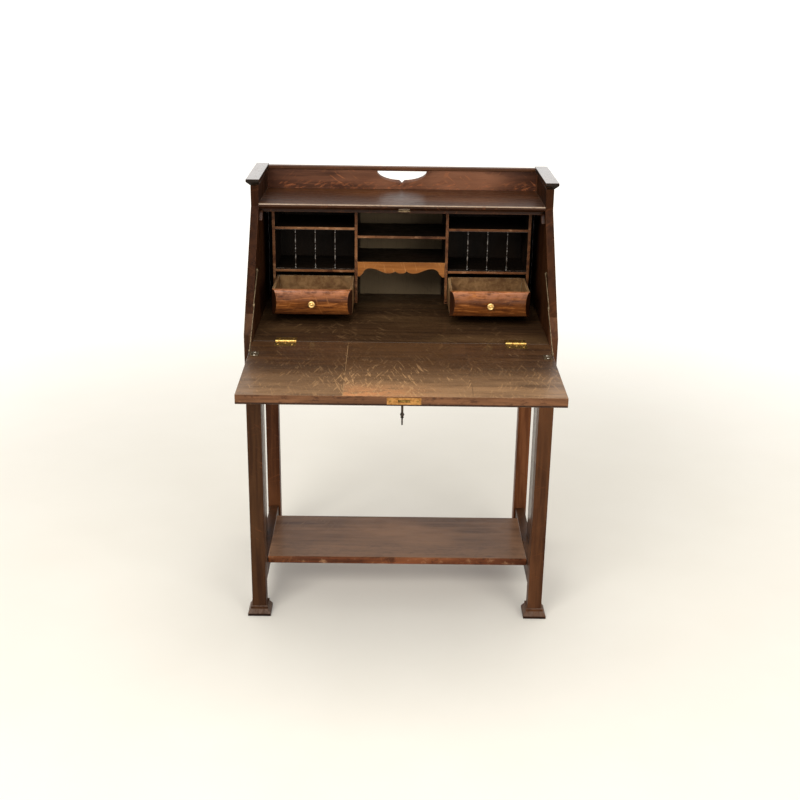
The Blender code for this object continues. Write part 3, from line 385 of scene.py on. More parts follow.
def gallery_marks(mix, tone, scuff):
    """The gallery's painted shade towards its ends, darker mottled patches, and painted orange glints along
    its foot.
    """
    axes = mix.object_axes()
    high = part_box("gallery_board")[1][2]
    away = mix.signed("ABSOLUTE", axes["X"])
    clouds = mix.noise(mix.object_place(), (9.0, 9.0, 22.0), 4.0, 0.6)
    # Painted shade towards the ends, merged with darker mottled patches.
    shade = mix.maths("MAXIMUM", mix.between(away, 0.20, 0.32), mix.between(clouds, 0.50, 0.66))
    tone = mix.mix(mix.times(shade, 0.6), tone, stain(58, 32, 22))
    # Painted glints in the lower part of the board.
    slanted = mix.turned(mix.object_place(), (0.0, 0.35, 0.0))
    glints = mix.noise(slanted, (52.0, 60.0, 260.0), 4.0, 0.65)
    lower = mix.between(axes["Z"], TOP_FACE + 0.6 * (high - TOP_FACE), TOP_FACE)
    return mix.mix(mix.times(mix.between(glints, 0.52, 0.66), lower, 0.6), tone, stain(184, 108, 66))


def shelf_marks(mix, tone, scuff):
    """The lower shelf's top, paler in patches towards its front."""
    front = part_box("lower_shelf")[0][1]
    forward = mix.between(mix.object_axes()["Y"], front + 0.15, front + 0.03)
    return mix.mix(mix.times(forward, mix.between(scuff, 0.20, 0.60), 0.4), tone, stain(158, 120, 90))


def edge_marks(mix, tone, scuff):
    """Front edges of shelves and partitions, chipped pale and stained dark by turns."""
    chips = mix.noise(mix.object_place(), (32.0, 70.0, 45.0), 5.0, 0.65)
    tone = mix.mix(mix.times(mix.between(chips, 0.54, 0.68), 0.55), tone, stain(196, 148, 108))
    return mix.mix(mix.times(mix.between(chips, 0.46, 0.34), 0.8), tone, stain(62, 32, 18))


def front_marks(mix, tone, scuff):
    """A drawer front: dark mottled handling marks and pale streaks, a painted highlight in patches on its
    upper swell, painted shade along its foot, and pale flecks.
    """
    streaks = mix.noise(mix.object_place(), (22.0, 60.0, 210.0), 5.0, 0.6, 0.5)
    tone = mix.mix(mix.times(mix.between(streaks, 0.48, 0.62), 0.75), tone, stain(62, 29, 12))
    tone = mix.mix(mix.times(mix.between(streaks, 0.44, 0.34), 0.6), tone, stain(188, 116, 58))
    low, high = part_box("left_drawer_front")
    # A painted highlight over the upper part of the swell, in patches.
    upper_highlight = mix.between(mix.object_axes()["Z"], low[2] + 0.55 * (high[2] - low[2]), high[2])
    tone = mix.mix(mix.times(upper_highlight, mix.between(scuff, 0.35, 0.6), 0.65), tone, stain(186, 122, 85))
    # Painted shade along the foot of the front.
    foot = mix.between(mix.object_axes()["Z"], low[2] + 0.016, low[2])
    tone = mix.mix(mix.times(foot, 0.7), tone, stain(60, 27, 9))
    return mix.mix(mix.times(mix.between(scuff, 0.68, 0.80), 0.6), tone, stain(205, 150, 100))


def back_marks(mix, tone, scuff):
    """A grey haze on the back panel behind the middle bay, partly dust and partly painted reflection,
    thickest low in each of its holes.
    """
    axes = mix.object_axes()
    away = mix.signed("ABSOLUTE", axes["X"])
    bay = mix.between(away, CENTRE_BAY, CENTRE_BAY - 0.006)
    # Partly dust, partly a painted reflection, only behind the middle bay.
    dust_and_reflection = mix.times(bay, mix.between(scuff, -0.10, 0.40), 0.95)
    for shelf in ("centre_shelf", "cubby_shelf"):
        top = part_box(shelf)[1][2]
        clear = mix.times(mix.between(axes["Z"], top + 0.012, top + 0.050),
                          mix.between(axes["Z"], top + 0.090, top + 0.052))
        dust_and_reflection = mix.times(dust_and_reflection, mix.signed("MULTIPLY_ADD", clear, -0.6, 1.0))
    return mix.mix(dust_and_reflection, tone, stain(130, 111, 84))


def lining_marks(mix, tone, scuff):
    """Handling stains in clouds over the drawers' linings."""
    clouds = mix.noise(mix.object_place(), (14.0, 14.0, 20.0), 3.0)
    stained = mix.times(mix.between(clouds, 0.48, 0.64), mix.between(scuff, 0.3, 0.6), 0.6)
    return mix.mix(stained, tone, stain(88, 60, 34))


def spindle_marks(mix, tone, scuff):
    """Pale painted highlights on the spindles' swells, in patches."""
    swell = mix.node("Attribute", {}, attribute_name="swell").outputs["Fac"]
    # A painted highlight on the swells, broken by the scuffs.
    rubbed = mix.times(mix.between(swell, 0.54, 0.70), mix.between(scuff, 0.25, 0.5), 0.55)
    return mix.mix(rubbed, tone, stain(156, 147, 136))


def metal(name, bright, dull, spot, gloss, brush, tarnish=0.40):
    """Old plated or cast metal: a brushed base, tarnish in clouds and dark specks."""
    mix = Recipe(name)
    place = mix.object_place()
    cloud = mix.noise(place, (140.0, 140.0, 140.0), 5.0, 0.6)
    specks = mix.noise(place, (900.0, 900.0, 900.0), 3.0, 0.6)
    hair = mix.noise(place, brush, 3.0, 0.6)
    tone = mix.mix(mix.between(cloud, tarnish, tarnish + 0.26), bright, dull)
    tone = mix.mix(mix.times(mix.between(specks, 0.60, 0.72), 0.7), tone, spot)
    tone = mix.mix(mix.times(mix.edges(0.0008), 0.5), tone, bright)
    mix.feed(mix.shader.inputs["Base Color"], tone)
    mix.shader.inputs["Metallic"].default_value = 1.0
    mix.blur(mix.between(cloud, 0.35, 0.70), 0.25, gloss)
    mix.dents(mix.signed("ADD", hair, cloud), 0.18, 0.0002)
    return mix.material


FUMED = (stain(49, 28, 16), stain(72, 46, 27), stain(88, 58, 36))
DARK_FUMED = (stain(38, 19, 9), stain(55, 30, 15), stain(68, 39, 20))
WARM_FUMED = (stain(60, 34, 19), stain(88, 54, 32), stain(106, 68, 42))
RED_FUMED = (stain(56, 29, 16), stain(82, 48, 28), stain(101, 62, 37))
# Lighter tones that paint light on the rear right leg.
PAINTED_LIGHT_FUMED = (stain(94, 53, 30), stain(132, 82, 50), stain(154, 99, 63))
# Near-black tones: dark stain with painted shade, for the pigeonholes' insides, the back panel behind them
# and the caps' sides.
SHADED = (stain(17, 12, 7), stain(26, 18, 11), stain(35, 24, 15))
SHADED_FLECK, SHADED_WORN = stain(38, 24, 15), stain(56, 36, 23)
FUMED_WORN = stain(120, 80, 54)
LID_SLANTS = (0.30, -0.28)
TURNED_BRUSH = (60.0, 1400.0, 60.0)


def fumed_oak(name, along, tones=FUMED, **finish):
    """The case's fumed oak with its quiet fleck."""
    return quartered_oak(name, along, tones, stain(106, 62, 36), FUMED_WORN, fleck_share=0.5, **finish)


UPRIGHT_OAK = quartered_oak("fumed_oak_upright", "Z", DARK_FUMED, stain(88, 51, 29), FUMED_WORN,
                            fleck_share=0.4, shine=0.03, coat=0.0, marks=side_marks)
# The right legs take lighter tones than the left legs: painted light.
LEG_OAKS = {node: fumed_oak(f"fumed_oak_{node}", "Z", tones, shine=0.05, coat=0.03, marks=foot_marks)
            for node, tones in (("front_left_leg", FUMED), ("front_right_leg", WARM_FUMED),
                                ("rear_left_leg", RED_FUMED), ("rear_right_leg", PAINTED_LIGHT_FUMED))}
SLAT_OAK = fumed_oak("fumed_oak_slat", "Z", coat=0.6, coat_blur=0.16)
CROSSWISE_OAK = fumed_oak("fumed_oak_crosswise", "X", WARM_FUMED)
DEEP_OAK = fumed_oak("fumed_oak_front_to_back", "Y")
# The caps' sides and undersides: near-black painted shade, against their polished tops.
SHADED_CAP_EDGE_OAK = fumed_oak("shaded_cap_edge_oak", "Y", SHADED)
CAP_OAK = fumed_oak("polished_cap_oak", "Y", coat=1.0, coat_blur=0.10, gloss=0.12, shine=1.0, relief=0.02)
# The top board's pale worn colour is partly wear and partly a painted highlight along the nosing.
TOP_OAK = quartered_oak("polished_top_oak", "X", (stain(44, 22, 9), stain(64, 36, 16), stain(80, 47, 21)),
                        stain(92, 56, 34), stain(178, 158, 136), fleck_share=0.4, wear=1.0, coat=0.36,
                        coat_blur=0.24, relief=0.08, marks=top_marks)
TOP_EDGE_OAK = fumed_oak("top_edge_oak", "X", DARK_FUMED)
GALLERY_OAK = quartered_oak("gallery_oak", "X", (stain(62, 37, 25), stain(107, 68, 48), stain(139, 92, 66)),
                            stain(172, 104, 64), stain(150, 96, 58), fleck_share=0.5, slants=(0.9, -0.75),
                            marks=gallery_marks)
SHELF_TOP_OAK = quartered_oak("shelf_top_oak", "X",
                              (stain(80, 53, 36), stain(114, 81, 57), stain(136, 98, 69)),
                              stain(132, 98, 70), stain(140, 100, 70), fleck_share=0.4, coat=0.12,
                              relief=0.10, marks=shelf_marks)
SHELF_EDGE_OAK = quartered_oak("shelf_edge_oak", "X",
                               (stain(76, 40, 22), stain(120, 66, 38), stain(152, 91, 55)),
                               stain(168, 106, 66), stain(184, 132, 92), fleck_share=0.3, gloss=0.38,
                               marks=edge_marks)
LID_OAK = quartered_oak("lid_oak", "X", (stain(49, 30, 15), stain(70, 45, 24), stain(84, 56, 32)),
                        stain(182, 140, 94), stain(140, 100, 66), fleck_share=0.6, fleck_from=0.595,
                        patch_from=0.38, slants=LID_SLANTS, gloss=0.34, shine=0.16, coat=0.2, relief=0.10,
                        gather=lid_figure, marks=lid_marks, seams=LID_SEAMS)
OUTER_LID_OAK = quartered_oak("outer_lid_oak", "X", FUMED, stain(118, 74, 44), FUMED_WORN,
                              fleck_share=0.45, slants=LID_SLANTS, coat=0.2, seams=LID_SEAMS)
LID_EDGE_OAK = quartered_oak("lid_edge_oak", "X",
                             (stain(92, 60, 38), stain(128, 86, 57), stain(148, 104, 71)),
                             stain(150, 106, 74), stain(180, 140, 102), fleck_share=0.08, wear=0.9,
                             gloss=0.42, marks=lid_edge_marks)
BED_OAK = quartered_oak("bed_oak", "X", (stain(42, 27, 15), stain(63, 43, 25), stain(76, 55, 33)),
                        stain(108, 82, 54), stain(118, 92, 66), fleck_share=0.6, gloss=0.36, coat=0.2)
# The pigeonholes' inner boards: dark stain with painted shade.
SHADED_OAK = quartered_oak("shaded_inner_oak", "X", SHADED, SHADED_FLECK, SHADED_WORN,
                           fleck_share=0.4, gloss=0.42, coat=0.0)
OUTER_BACK_OAK = fumed_oak("outer_back_oak", "Z", RED_FUMED, gloss=0.5, coat=0.0)
# The back panel's face inside the pigeonholes: near-black painted shade.
SHADED_BACK_OAK = quartered_oak("shaded_back_panel_oak", "Z", SHADED, SHADED_FLECK, SHADED_WORN,
                         fleck_share=0.1, gloss=0.42, coat=0.0, marks=back_marks)
GOLDEN_OAK = quartered_oak("golden_edge_oak", "X",
                           (stain(74, 42, 24), stain(120, 74, 43), stain(154, 106, 68)),
                           stain(176, 122, 78), stain(188, 140, 98), fleck_share=0.3, wear=0.9, gloss=0.40,
                           marks=edge_marks)
APRON_OAK = quartered_oak("apron_oak", "X", (stain(122, 71, 32), stain(170, 107, 52), stain(188, 125, 67)),
                          stain(204, 146, 88), stain(196, 146, 96), fleck_share=0.35, gloss=0.38)
DRAWER_OAK = quartered_oak("drawer_front_oak", "X",
                           (stain(88, 45, 16), stain(130, 72, 28), stain(152, 89, 39)),
                           stain(168, 108, 58), stain(188, 134, 92), fleck_share=0.35, gloss=0.28, coat=0.4,
                           marks=front_marks)
# The drawer fronts' bevelled ends: dark painted shade.
SHADED_DRAWER_END_OAK = quartered_oak("shaded_drawer_end_oak", "Z",
                               (stain(34, 17, 8), stain(52, 26, 12), stain(64, 34, 16)),
                               stain(80, 46, 24), stain(120, 76, 44), fleck_share=0.3, gloss=0.40)
LINING_WOOD = quartered_oak("drawer_lining_wood", "Y",
                            (stain(104, 74, 46), stain(142, 107, 69), stain(166, 132, 89)),
                            stain(170, 136, 94), stain(216, 198, 166), fleck_share=0.2, wear=1.0,
                            gloss=0.58, coat=0.0, marks=lining_marks)
SPINDLE_OAK = quartered_oak("spindle_oak", "Z", (stain(24, 15, 10), stain(36, 23, 15), stain(46, 30, 20)),
                            stain(60, 38, 26), stain(150, 132, 112), fleck_share=0.0, gloss=0.14, shine=0.5,
                            coat=1.0, coat_blur=0.08, marks=spindle_marks)
KNOB_BRASS = metal("rubbed_knob_brass", stain(238, 204, 136), stain(214, 174, 104), stain(120, 88, 44),
                   0.40, TURNED_BRUSH)
BRASS = metal("aged_brass", stain(222, 182, 104), stain(186, 144, 74), stain(100, 72, 32), 0.24, TURNED_BRUSH)
LEAF_BRASS = metal("tarnished_brass", stain(142, 114, 60), stain(100, 78, 38), stain(58, 44, 22), 0.36,
                   (1200.0, 60.0, 60.0), 0.34)
LOCK_BRASS = metal("dull_lock_brass", stain(180, 131, 76), stain(146, 101, 52), stain(94, 62, 30), 0.36,
                   (60.0, 60.0, 1200.0))
STEEL = metal("dull_steel", stain(132, 114, 88), stain(86, 72, 54), stain(52, 42, 32), 0.34,
              (1400.0, 60.0, 60.0))
SCREW_STEEL = metal("bright_screw_steel", stain(214, 206, 190), stain(170, 160, 142), stain(96, 86, 74), 0.20,
                    (900.0, 900.0, 60.0), 0.5)
IRON = metal("dark_iron", stain(70, 61, 53), stain(44, 38, 33), stain(26, 22, 19), 0.36,
             (400.0, 400.0, 400.0))


def set_down(bm, name, body, finish, *materials):
    """Turn a bmesh into a finished piece that rides on a body."""
    mesh = bpy.data.meshes.new(name)
    bm.to_mesh(mesh)
    bm.free()
    for material in materials:
        mesh.materials.append(material)
    mesh.shade_smooth()
    mesh.set_sharp_from_angle(angle=ARRIS_FROM)
    piece = bpy.data.objects.new(name, mesh)
    bpy.context.scene.collection.objects.link(piece)
    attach(piece, body)
    return piece


def mark_plank(piece, number):
    """Give a board its own stretch of the log, so that neighbours don't share their figure."""
    shift = piece.data.attributes.new("plank", "FLOAT", "POINT")
    shift.data.foreach_set("value", [number * PLANK_SHIFT] * len(piece.data.vertices))


def eased_copy(node, rounding, segments, nose=0.0):
    """A frame node's shape as one clean shell with its arrises rounded, the upper front one as a nosing."""
    bm = bmesh.new()
    bm.from_mesh(frame["nodes"][node].data)
    bmesh.ops.remove_doubles(bm, verts=bm.verts, dist=WELD)
    bmesh.ops.dissolve_limit(bm, angle_limit=math.radians(1), verts=bm.verts, edges=bm.edges)
    if nose:
        front, top = min(v.co.y for v in bm.verts), max(v.co.z for v in bm.verts)
        lip = [e for e in bm.edges
               if all(v.co.y < front + FLUSH and v.co.z > top - FLUSH for v in e.verts)]
        bmesh.ops.bevel(bm, geom=lip, offset=nose, segments=6, profile=0.5, affect="EDGES",
                        clamp_overlap=True, material=-1)
    arrises = [e for e in bm.edges if len(e.link_faces) == 2 and e.calc_face_angle() > ARRIS_FROM]
    bmesh.ops.bevel(bm, geom=arrises, offset=rounding, segments=segments, profile=0.5, affect="EDGES",
                    clamp_overlap=True, material=-1)
    return bm


def stand_in(bm, name, node, *materials):
    """Put an eased copy in its frame node's place, evenly shaded."""
    piece = set_down(bm, name, BODY_OF[node], SLOT_OF[node], *materials)
    piece.modifiers.new("even_shading", "WEIGHTED_NORMAL").keep_sharp = True
    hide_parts(node)
    return piece


def wooden(node, number, finish, others=(), nose=0.0):
    """A frame node's board with rounded arrises; faces turned a given way may take another finish."""
    bm = eased_copy(node, ROUNDING, 2, nose)
    if node == "gallery_board":
        scoop_piercing(bm)
    for side in bm.faces:
        turned = (index for index, (_, facing) in enumerate(others, 1) if facing(side.normal))
        side.material_index = next(turned, 0)
    piece = stand_in(bm, f"{node}_board", node, finish, *(oak for oak, _ in others))
    mark_plank(piece, number)


def scoop_piercing(bm):
    """Raise the hand hold's back edge, so that its sill slopes down to the front."""
    back, head = max(v.co.y for v in bm.verts), max(v.co.z for v in bm.verts) - PIERCING_TOP
    inside = [v for v in bm.verts if abs(v.co.x) < PIERCING_HALF and v.co.y > back - 2 * ROUNDING
              and head - PIERCING_DROP < v.co.z < head]
    from_head = Matrix.Translation((0, 0, -head))
    bmesh.ops.scale(bm, vec=(1, 1, PIERCING_BACK_SHARE), space=from_head, verts=inside)


def forged(node, material, barrel=None):
    """A frame node's metal fitting with its sharp corners broken; a hinge's barrel is rubbed bright."""
    bm = eased_copy(node, METAL_ROUNDING, 1)
    for side in bm.faces:
        away = side.calc_center_median() - LID_HINGE
        side.material_index = 1 if barrel and math.hypot(away.y, away.z) < BARREL_REACH else 0
    stand_in(bm, f"{node}_fitting", node, *((material, barrel) if barrel else (material,)))


def newest(bm, old):
    """The vertices made since the old ones were noted."""
    return [vert for vert in bm.verts if vert not in old]


def faces_round(verts):
    """The faces that meet at some vertices, each once."""
    return list(dict.fromkeys(face for vert in verts for face in vert.link_faces))


def full_turn(bm, geom, steps, old, where):
    """Spin a line or a ring about z, close what comes of it, and put it in place."""
    bmesh.ops.spin(bm, geom=geom, cent=(0, 0, 0), axis=(0, 0, 1), angle=2 * math.pi, steps=steps,
                   use_merge=True)
    bmesh.ops.remove_doubles(bm, verts=newest(bm, old), dist=FINE_WELD)
    made = newest(bm, old)
    bmesh.ops.recalc_face_normals(bm, faces=faces_round(made))
    bmesh.ops.transform(bm, matrix=where, verts=made)


def on_lathe(bm, profile, where, steps):
    """Turn a profile of (radius, height) about z, and put it in place."""
    old = set(bm.verts)
    line = [bm.verts.new((radius, 0.0, height)) for radius, height in profile]
    edges = [bm.edges.new(pair) for pair in zip(line, line[1:])]
    full_turn(bm, line + edges, steps, old, where)


def slotted_screw(bm, where, radius, turn):
    """A screw head that stands just proud of the metal, its slot turned by an angle."""
    old = set(bm.verts)
    bmesh.ops.create_cone(bm, cap_ends=True, cap_tris=False, segments=20, radius1=radius,
                          radius2=radius * SCREW_TAPER, depth=SCREW_DEPTH)
    half_slot = radius * SLOT_HALF_SHARE

    def crown():
        faces = faces_round(newest(bm, old))
        top = max(face.calc_center_median().z for face in faces)
        level = [face for face in faces if face.calc_center_median().z > top - radius * 0.01]
        return min(level, key=lambda face: abs(face.calc_center_median().x))

    for edge in (-half_slot, half_slot):
        face = crown()
        bmesh.ops.bisect_plane(bm, geom=[face, *face.edges, *face.verts], plane_co=(edge, 0, 0),
                               plane_no=(1, 0, 0))
    bmesh.ops.inset_region(bm, faces=[crown()], thickness=radius * SLOT_INSET_SHARE,
                           depth=-radius * SLOT_SINK_SHARE)
    spin = Matrix.Rotation(turn, 4, "Z")
    bmesh.ops.transform(bm, matrix=where @ spin, verts=newest(bm, old))


def screws(name, body, finish, material, spots, radius):
    """A group of screw heads as one piece, each slot turned another way."""
    bm = bmesh.new()
    for index, spot in enumerate(spots):
        slotted_screw(bm, spot, radius, FIRST_SLOT_TURN + NEXT_SLOT_TURN * index)
    set_down(bm, name, body, finish, material)


def build_woodwork():
    """Every board: its frame node, its oak, and another oak for faces turned a given way."""
    boards = [
        *LEG_OAKS.items(),
        ("left_side", UPRIGHT_OAK),
        ("right_side", UPRIGHT_OAK),
        ("left_slat", SLAT_OAK),
        ("right_slat", SLAT_OAK),
        ("left_cap", CAP_OAK, (SHADED_CAP_EDGE_OAK, faces_aside)),
        ("right_cap", CAP_OAK, (SHADED_CAP_EDGE_OAK, faces_aside)),
        ("left_lower_rail", DEEP_OAK),
        ("right_lower_rail", DEEP_OAK),
        ("front_rail", CROSSWISE_OAK),
        ("top_board", TOP_OAK, (TOP_EDGE_OAK, faces_under_nosing)),
        ("head_rail", TOP_EDGE_OAK),
        ("gallery_strip", CROSSWISE_OAK),
        ("gallery_board", GALLERY_OAK),
        ("lower_shelf", SHELF_TOP_OAK, (SHELF_EDGE_OAK, faces_front)),
        ("lid", LID_OAK, (LID_EDGE_OAK, faces_front), (OUTER_LID_OAK, faces_down)),
        ("desk_bed", BED_OAK),
        ("back_panel", OUTER_BACK_OAK, (SHADED_BACK_OAK, faces_front)),
        ("centre_shelf", SHADED_OAK, (GOLDEN_OAK, faces_front)),
        ("cubby_shelf", SHADED_OAK, (APRON_OAK, faces_front)),
    ]
    for word, _ in SIDES:
        boards += [(f"{word}_{name}", SHADED_OAK, (GOLDEN_OAK, faces_front))
                   for name in ("end_board", "divider", "upper_shelf", "letter_shelf")]
        boards += [(f"{word}_drawer_{name}", LINING_WOOD)
                   for name in ("left_side", "right_side", "back", "bottom")]
    for word, _ in SIDES:
        boards.append((f"{word}_drawer_front", DRAWER_OAK, (SHADED_DRAWER_END_OAK, faces_end)))
    for number, (node, finish, *others) in enumerate(boards):
        wooden(node, number, finish, others, TOP_NOSE if node == "top_board" else 0.0)


# Half of a spindle, which the other half mirrors: share of the radius, share of the height
SPINDLE_SLIMNESS = 0.8
SPINDLE_TURNING = ((0.0, 0.0), (0.80, 0.0), (0.86, 0.012), (0.80, 0.030), (0.50, 0.040), (0.46, 0.055),
                   (0.66, 0.066), (0.72, 0.078), (0.66, 0.090), (0.38, 0.100), (0.38, 0.130),
                   (0.46, 0.180), (0.62, 0.235), (0.74, 0.285), (0.72, 0.320), (0.56, 0.355),
                   (0.42, 0.380), (0.40, 0.400), (0.58, 0.412), (0.64, 0.428), (0.58, 0.444),
                   (0.44, 0.455), (0.54, 0.470), (0.76, 0.485), (0.84, 0.500))


def build_spindles():
    """Three slim turned spindles in each letter bay, with the thin strips that carry them."""
    upper = tuple((swell, 1 - share) for swell, share in reversed(SPINDLE_TURNING[:-1]))
    for number, (word, _) in enumerate(SIDES):
        node = f"{word}_spindles"
        low, high = corners(node)
        radius, middle = (high.y - low.y) / 2, (high.y + low.y) / 2
        centres = [low.x + (high.x - low.x) * place / 4 for place in (1, 2, 3)]
        bm = bmesh.new()
        for foot in (low.z, high.z - SPINDLE_STRIP):
            size = Matrix.Diagonal((high.x - low.x, high.y - low.y, SPINDLE_STRIP, 1.0))
            spot = Matrix.Translation(((low.x + high.x) / 2, middle, foot + SPINDLE_STRIP / 2))
            bmesh.ops.create_cube(bm, size=1.0, matrix=spot @ size)
        height = high.z - low.z - SPINDLE_STRIP
        profile = [(SPINDLE_SLIMNESS * swell * radius, share * height)
                   for swell, share in SPINDLE_TURNING + upper]
        for x in centres:
            on_lathe(bm, profile, Matrix.Translation((x, middle, low.z + SPINDLE_STRIP / 2)), 24)
        piece = set_down(bm, f"{word}_turned_spindles", "case", SLOT_OF[node], SPINDLE_OAK)
        swell = piece.data.attributes.new("swell", "FLOAT", "POINT")
        for vert, value in zip(piece.data.vertices, swell.data):
            away = min(math.hypot(vert.co.x - x, vert.co.y - middle) for x in centres)
            share = away / radius / SPINDLE_SLIMNESS
            value.value = share if share < 1 else 0.0
        mark_plank(piece, FIRST_SPINDLE_PLANK + number)
        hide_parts(node)


# A knob from its foot: share of the radius, share of the length
KNOB_TURNING = ((0.0, 0.0), (0.56, 0.0), (0.60, 0.05), (0.52, 0.11), (0.36, 0.18), (0.29, 0.28),
                (0.28, 0.38), (0.36, 0.48), (0.60, 0.56), (0.84, 0.63), (0.97, 0.71), (1.00, 0.79),
                (0.97, 0.87), (0.88, 0.93), (0.74, 0.96), (0.66, 0.95), (0.58, 0.90), (0.46, 0.87),
                (0.34, 0.88), (0.28, 0.93), (0.18, 0.98), (0.0, 1.0))


def build_knobs():
    """Round brass knobs with a dished face and a button in its middle."""
    for word, _ in SIDES:
        node = f"{word}_drawer_knob"
        low, high = corners(node)
        radius, length = (high.x - low.x) / 2, high.y - low.y
        foot = Matrix.Translation(((low.x + high.x) / 2, high.y, (low.z + high.z) / 2))
        bm = bmesh.new()
        on_lathe(bm, [(swell * radius, share * length) for swell, share in KNOB_TURNING],
                 foot @ Matrix.Rotation(math.pi / 2, 4, "X"), 36)
        piece = set_down(bm, f"{word}_turned_knob", BODY_OF[node], SLOT_OF[node], KNOB_BRASS)
        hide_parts(node)


# The key's stem: radius and height, metres
KEY_TURNING = ((0.0, 0.0100), (0.0022, 0.0100), (0.0026, 0.0096), (0.0026, -0.0020), (0.0036, -0.0026),
               (0.0047, -0.0034), (0.0048, -0.0044), (0.0044, -0.0056), (0.0030, -0.0064), (0.0024, -0.0070),
               (0.0024, -0.0225), (0.0026, -0.0241), (0.0036, -0.0255), (0.0044, -0.0275), (0.0036, -0.0295),
               (0.0026, -0.0309), (0.0024, -0.0318), (0.0034, -0.0328), (0.0034, -0.0338), (0.0024, -0.0350),
               (0.0, -0.0352))


def build_key():
    """The key: turned stem with collars, oval ring bow seen edge on, and its bit."""
    bm = bmesh.new()
    on_lathe(bm, KEY_TURNING, KEY_FRAME, 28)
    old = set(bm.verts)
    section = Matrix.Translation((BOW_HALF_WIDTH, 0, 0)) @ Matrix.Rotation(math.pi / 2, 4, "X")
    ring = bmesh.ops.create_circle(bm, segments=12, radius=BOW_WIRE, matrix=section)["verts"]
    edges = list(dict.fromkeys(edge for vert in ring for edge in vert.link_edges))
    oval = BOW_HALF_LENGTH / BOW_HALF_WIDTH
    upright = Matrix(((0, 0, 1, 0), (1, 0, 0, 0), (0, oval, 0, BOW_MIDDLE), (0, 0, 0, 1)))
    full_turn(bm, ring + edges, 40, old, KEY_FRAME @ upright)
    bit = Matrix.Translation(BIT_PLACE) @ Matrix.Diagonal(BIT_SIZE)
    bmesh.ops.create_cube(bm, size=1.0, matrix=KEY_FRAME @ bit)
    piece = set_down(bm, "forged_key", BODY_OF["key"], SLOT_OF["key"], IRON)
    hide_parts("key")


def build_metalwork():
    """Hinges, stays and lock, with the screws that the frame leaves out."""
    finishes = {"steel": STEEL, "brass": BRASS}
    lock_finishes = {"lock_bolt": LEAF_BRASS, "lock_plate": LOCK_BRASS}
    for node, finish in SLOT_OF.items():
        if finish not in finishes or node.endswith("_knob"):
            continue
        if node.endswith("hinge_leaf"):
            forged(node, LEAF_BRASS, BRASS)
        else:
            forged(node, lock_finishes.get(node, finishes[finish]))
    bed = Matrix.Translation((0, LID_HINGE.y, LID_HINGE.z))
    for word, side in SIDES:
        low, high = corners(f"{word}_bed_hinge_leaf")
        middle = (low.x + high.x) / 2
        spots = [bed @ Matrix.Translation((middle + x, y, 0)) for x, y in HINGE_SCREWS]
        screws(f"{word}_bed_leaf_screws", "case", "brass", LEAF_BRASS, spots, SMALL_SCREW)
        spots = [LID_FRAME @ Matrix.Translation((middle + x, -y, 0)) for x, y in HINGE_SCREWS]
        screws(f"{word}_lid_leaf_screws", "lid", "brass", BRASS, spots, SMALL_SCREW)
        low, high = corners(f"{word}_stay_bracket")
        across = (low.x if side > 0 else high.x) + side * BRACKET_INSET
        reach = LID_HINGE.y - (low.y + high.y) / 2
        spots = [LID_FRAME @ Matrix.Translation((across, y - reach, BRACKET_TOP)) for y in BRACKET_SCREWS]
        screws(f"{word}_bracket_screws", "lid", "steel", SCREW_STEEL, spots, BRACKET_SCREW)
    facing = Matrix.Rotation(math.pi / 2, 4, "X")
    front, centre = LOCK_SCREW_SINK - LID_REACH, -LID_THICK / 2
    spots = [LID_FRAME @ Matrix.Translation((LOCK_MIDDLE + side * LOCK_SCREWS, front, centre)) @ facing
             for _, side in SIDES]
    screws("lock_plate_screws", "lid", "brass", LEAF_BRASS, spots, SMALL_SCREW)


# Radius and height, metres
RING_TURNING = ((0.0078, 0.0), (0.0128, 0.0), (0.0130, -0.0004), (0.0122, -0.0009), (0.0100, -0.0013),
                (0.0084, -0.0011), (0.0078, -0.0006), (0.0078, 0.0))
NAIL_TURNING = ((0.0, -0.0006), (0.0022, -0.0006), (0.0022, 0.0001), (0.0016, 0.0005), (0.0, 0.0006))


def build_plates():
    """The lock's strike on the head rail, the ring round the keyhole and the back panel's nails."""
    bm = bmesh.new()
    high = corners("head_rail")[1]
    spot = Matrix.Translation((LOCK_MIDDLE, LID_HINGE.y + STRIKE_BEHIND_HINGE, high.z - STRIKE_BELOW_RAIL))
    lens = spot @ Matrix.Rotation(math.pi / 2, 4, "X")
    bmesh.ops.create_cone(bm, cap_ends=True, segments=32, radius1=1.0, radius2=0.96, depth=1.0,
                          matrix=lens @ Matrix.Diagonal(STRIKE_SIZE))
    set_down(bm, "strike_plate", "case", "brass", STEEL)
    bm = bmesh.new()
    on_lathe(bm, RING_TURNING, KEY_FRAME, 40)
    set_down(bm, "keyhole_ring", "lid", "brass", BRASS)
    low, high = corners("back_panel")
    bm = bmesh.new()
    behind = Matrix.Rotation(-math.pi / 2, 4, "X")
    for z in (low.z + NAIL_INSET, (low.z + high.z) / 2, high.z - NAIL_INSET):
        for share in NAIL_SHARES:
            x = low.x + (high.x - low.x) * share
            on_lathe(bm, NAIL_TURNING, Matrix.Translation((x, high.y, z)) @ behind, 12)
    set_down(bm, "back_panel_nails", "case", "iron", IRON)


def backdrop_rays(tree):
    """1 for the rays that show the backdrop: straight from the camera, mirrored or through glass."""
    rays = tree.nodes.new("ShaderNodeLightPath").outputs
    shown = rays["Is Camera Ray"]
    for kind in ("Is Glossy Ray", "Is Transmission Ray"):
        either = tree.nodes.new("ShaderNodeMath")
        either.operation = "MAXIMUM"
        tree.links.new(shown, either.inputs[0])
        tree.links.new(rays[kind], either.inputs[1])
        shown = either.outputs["Value"]
    return shown


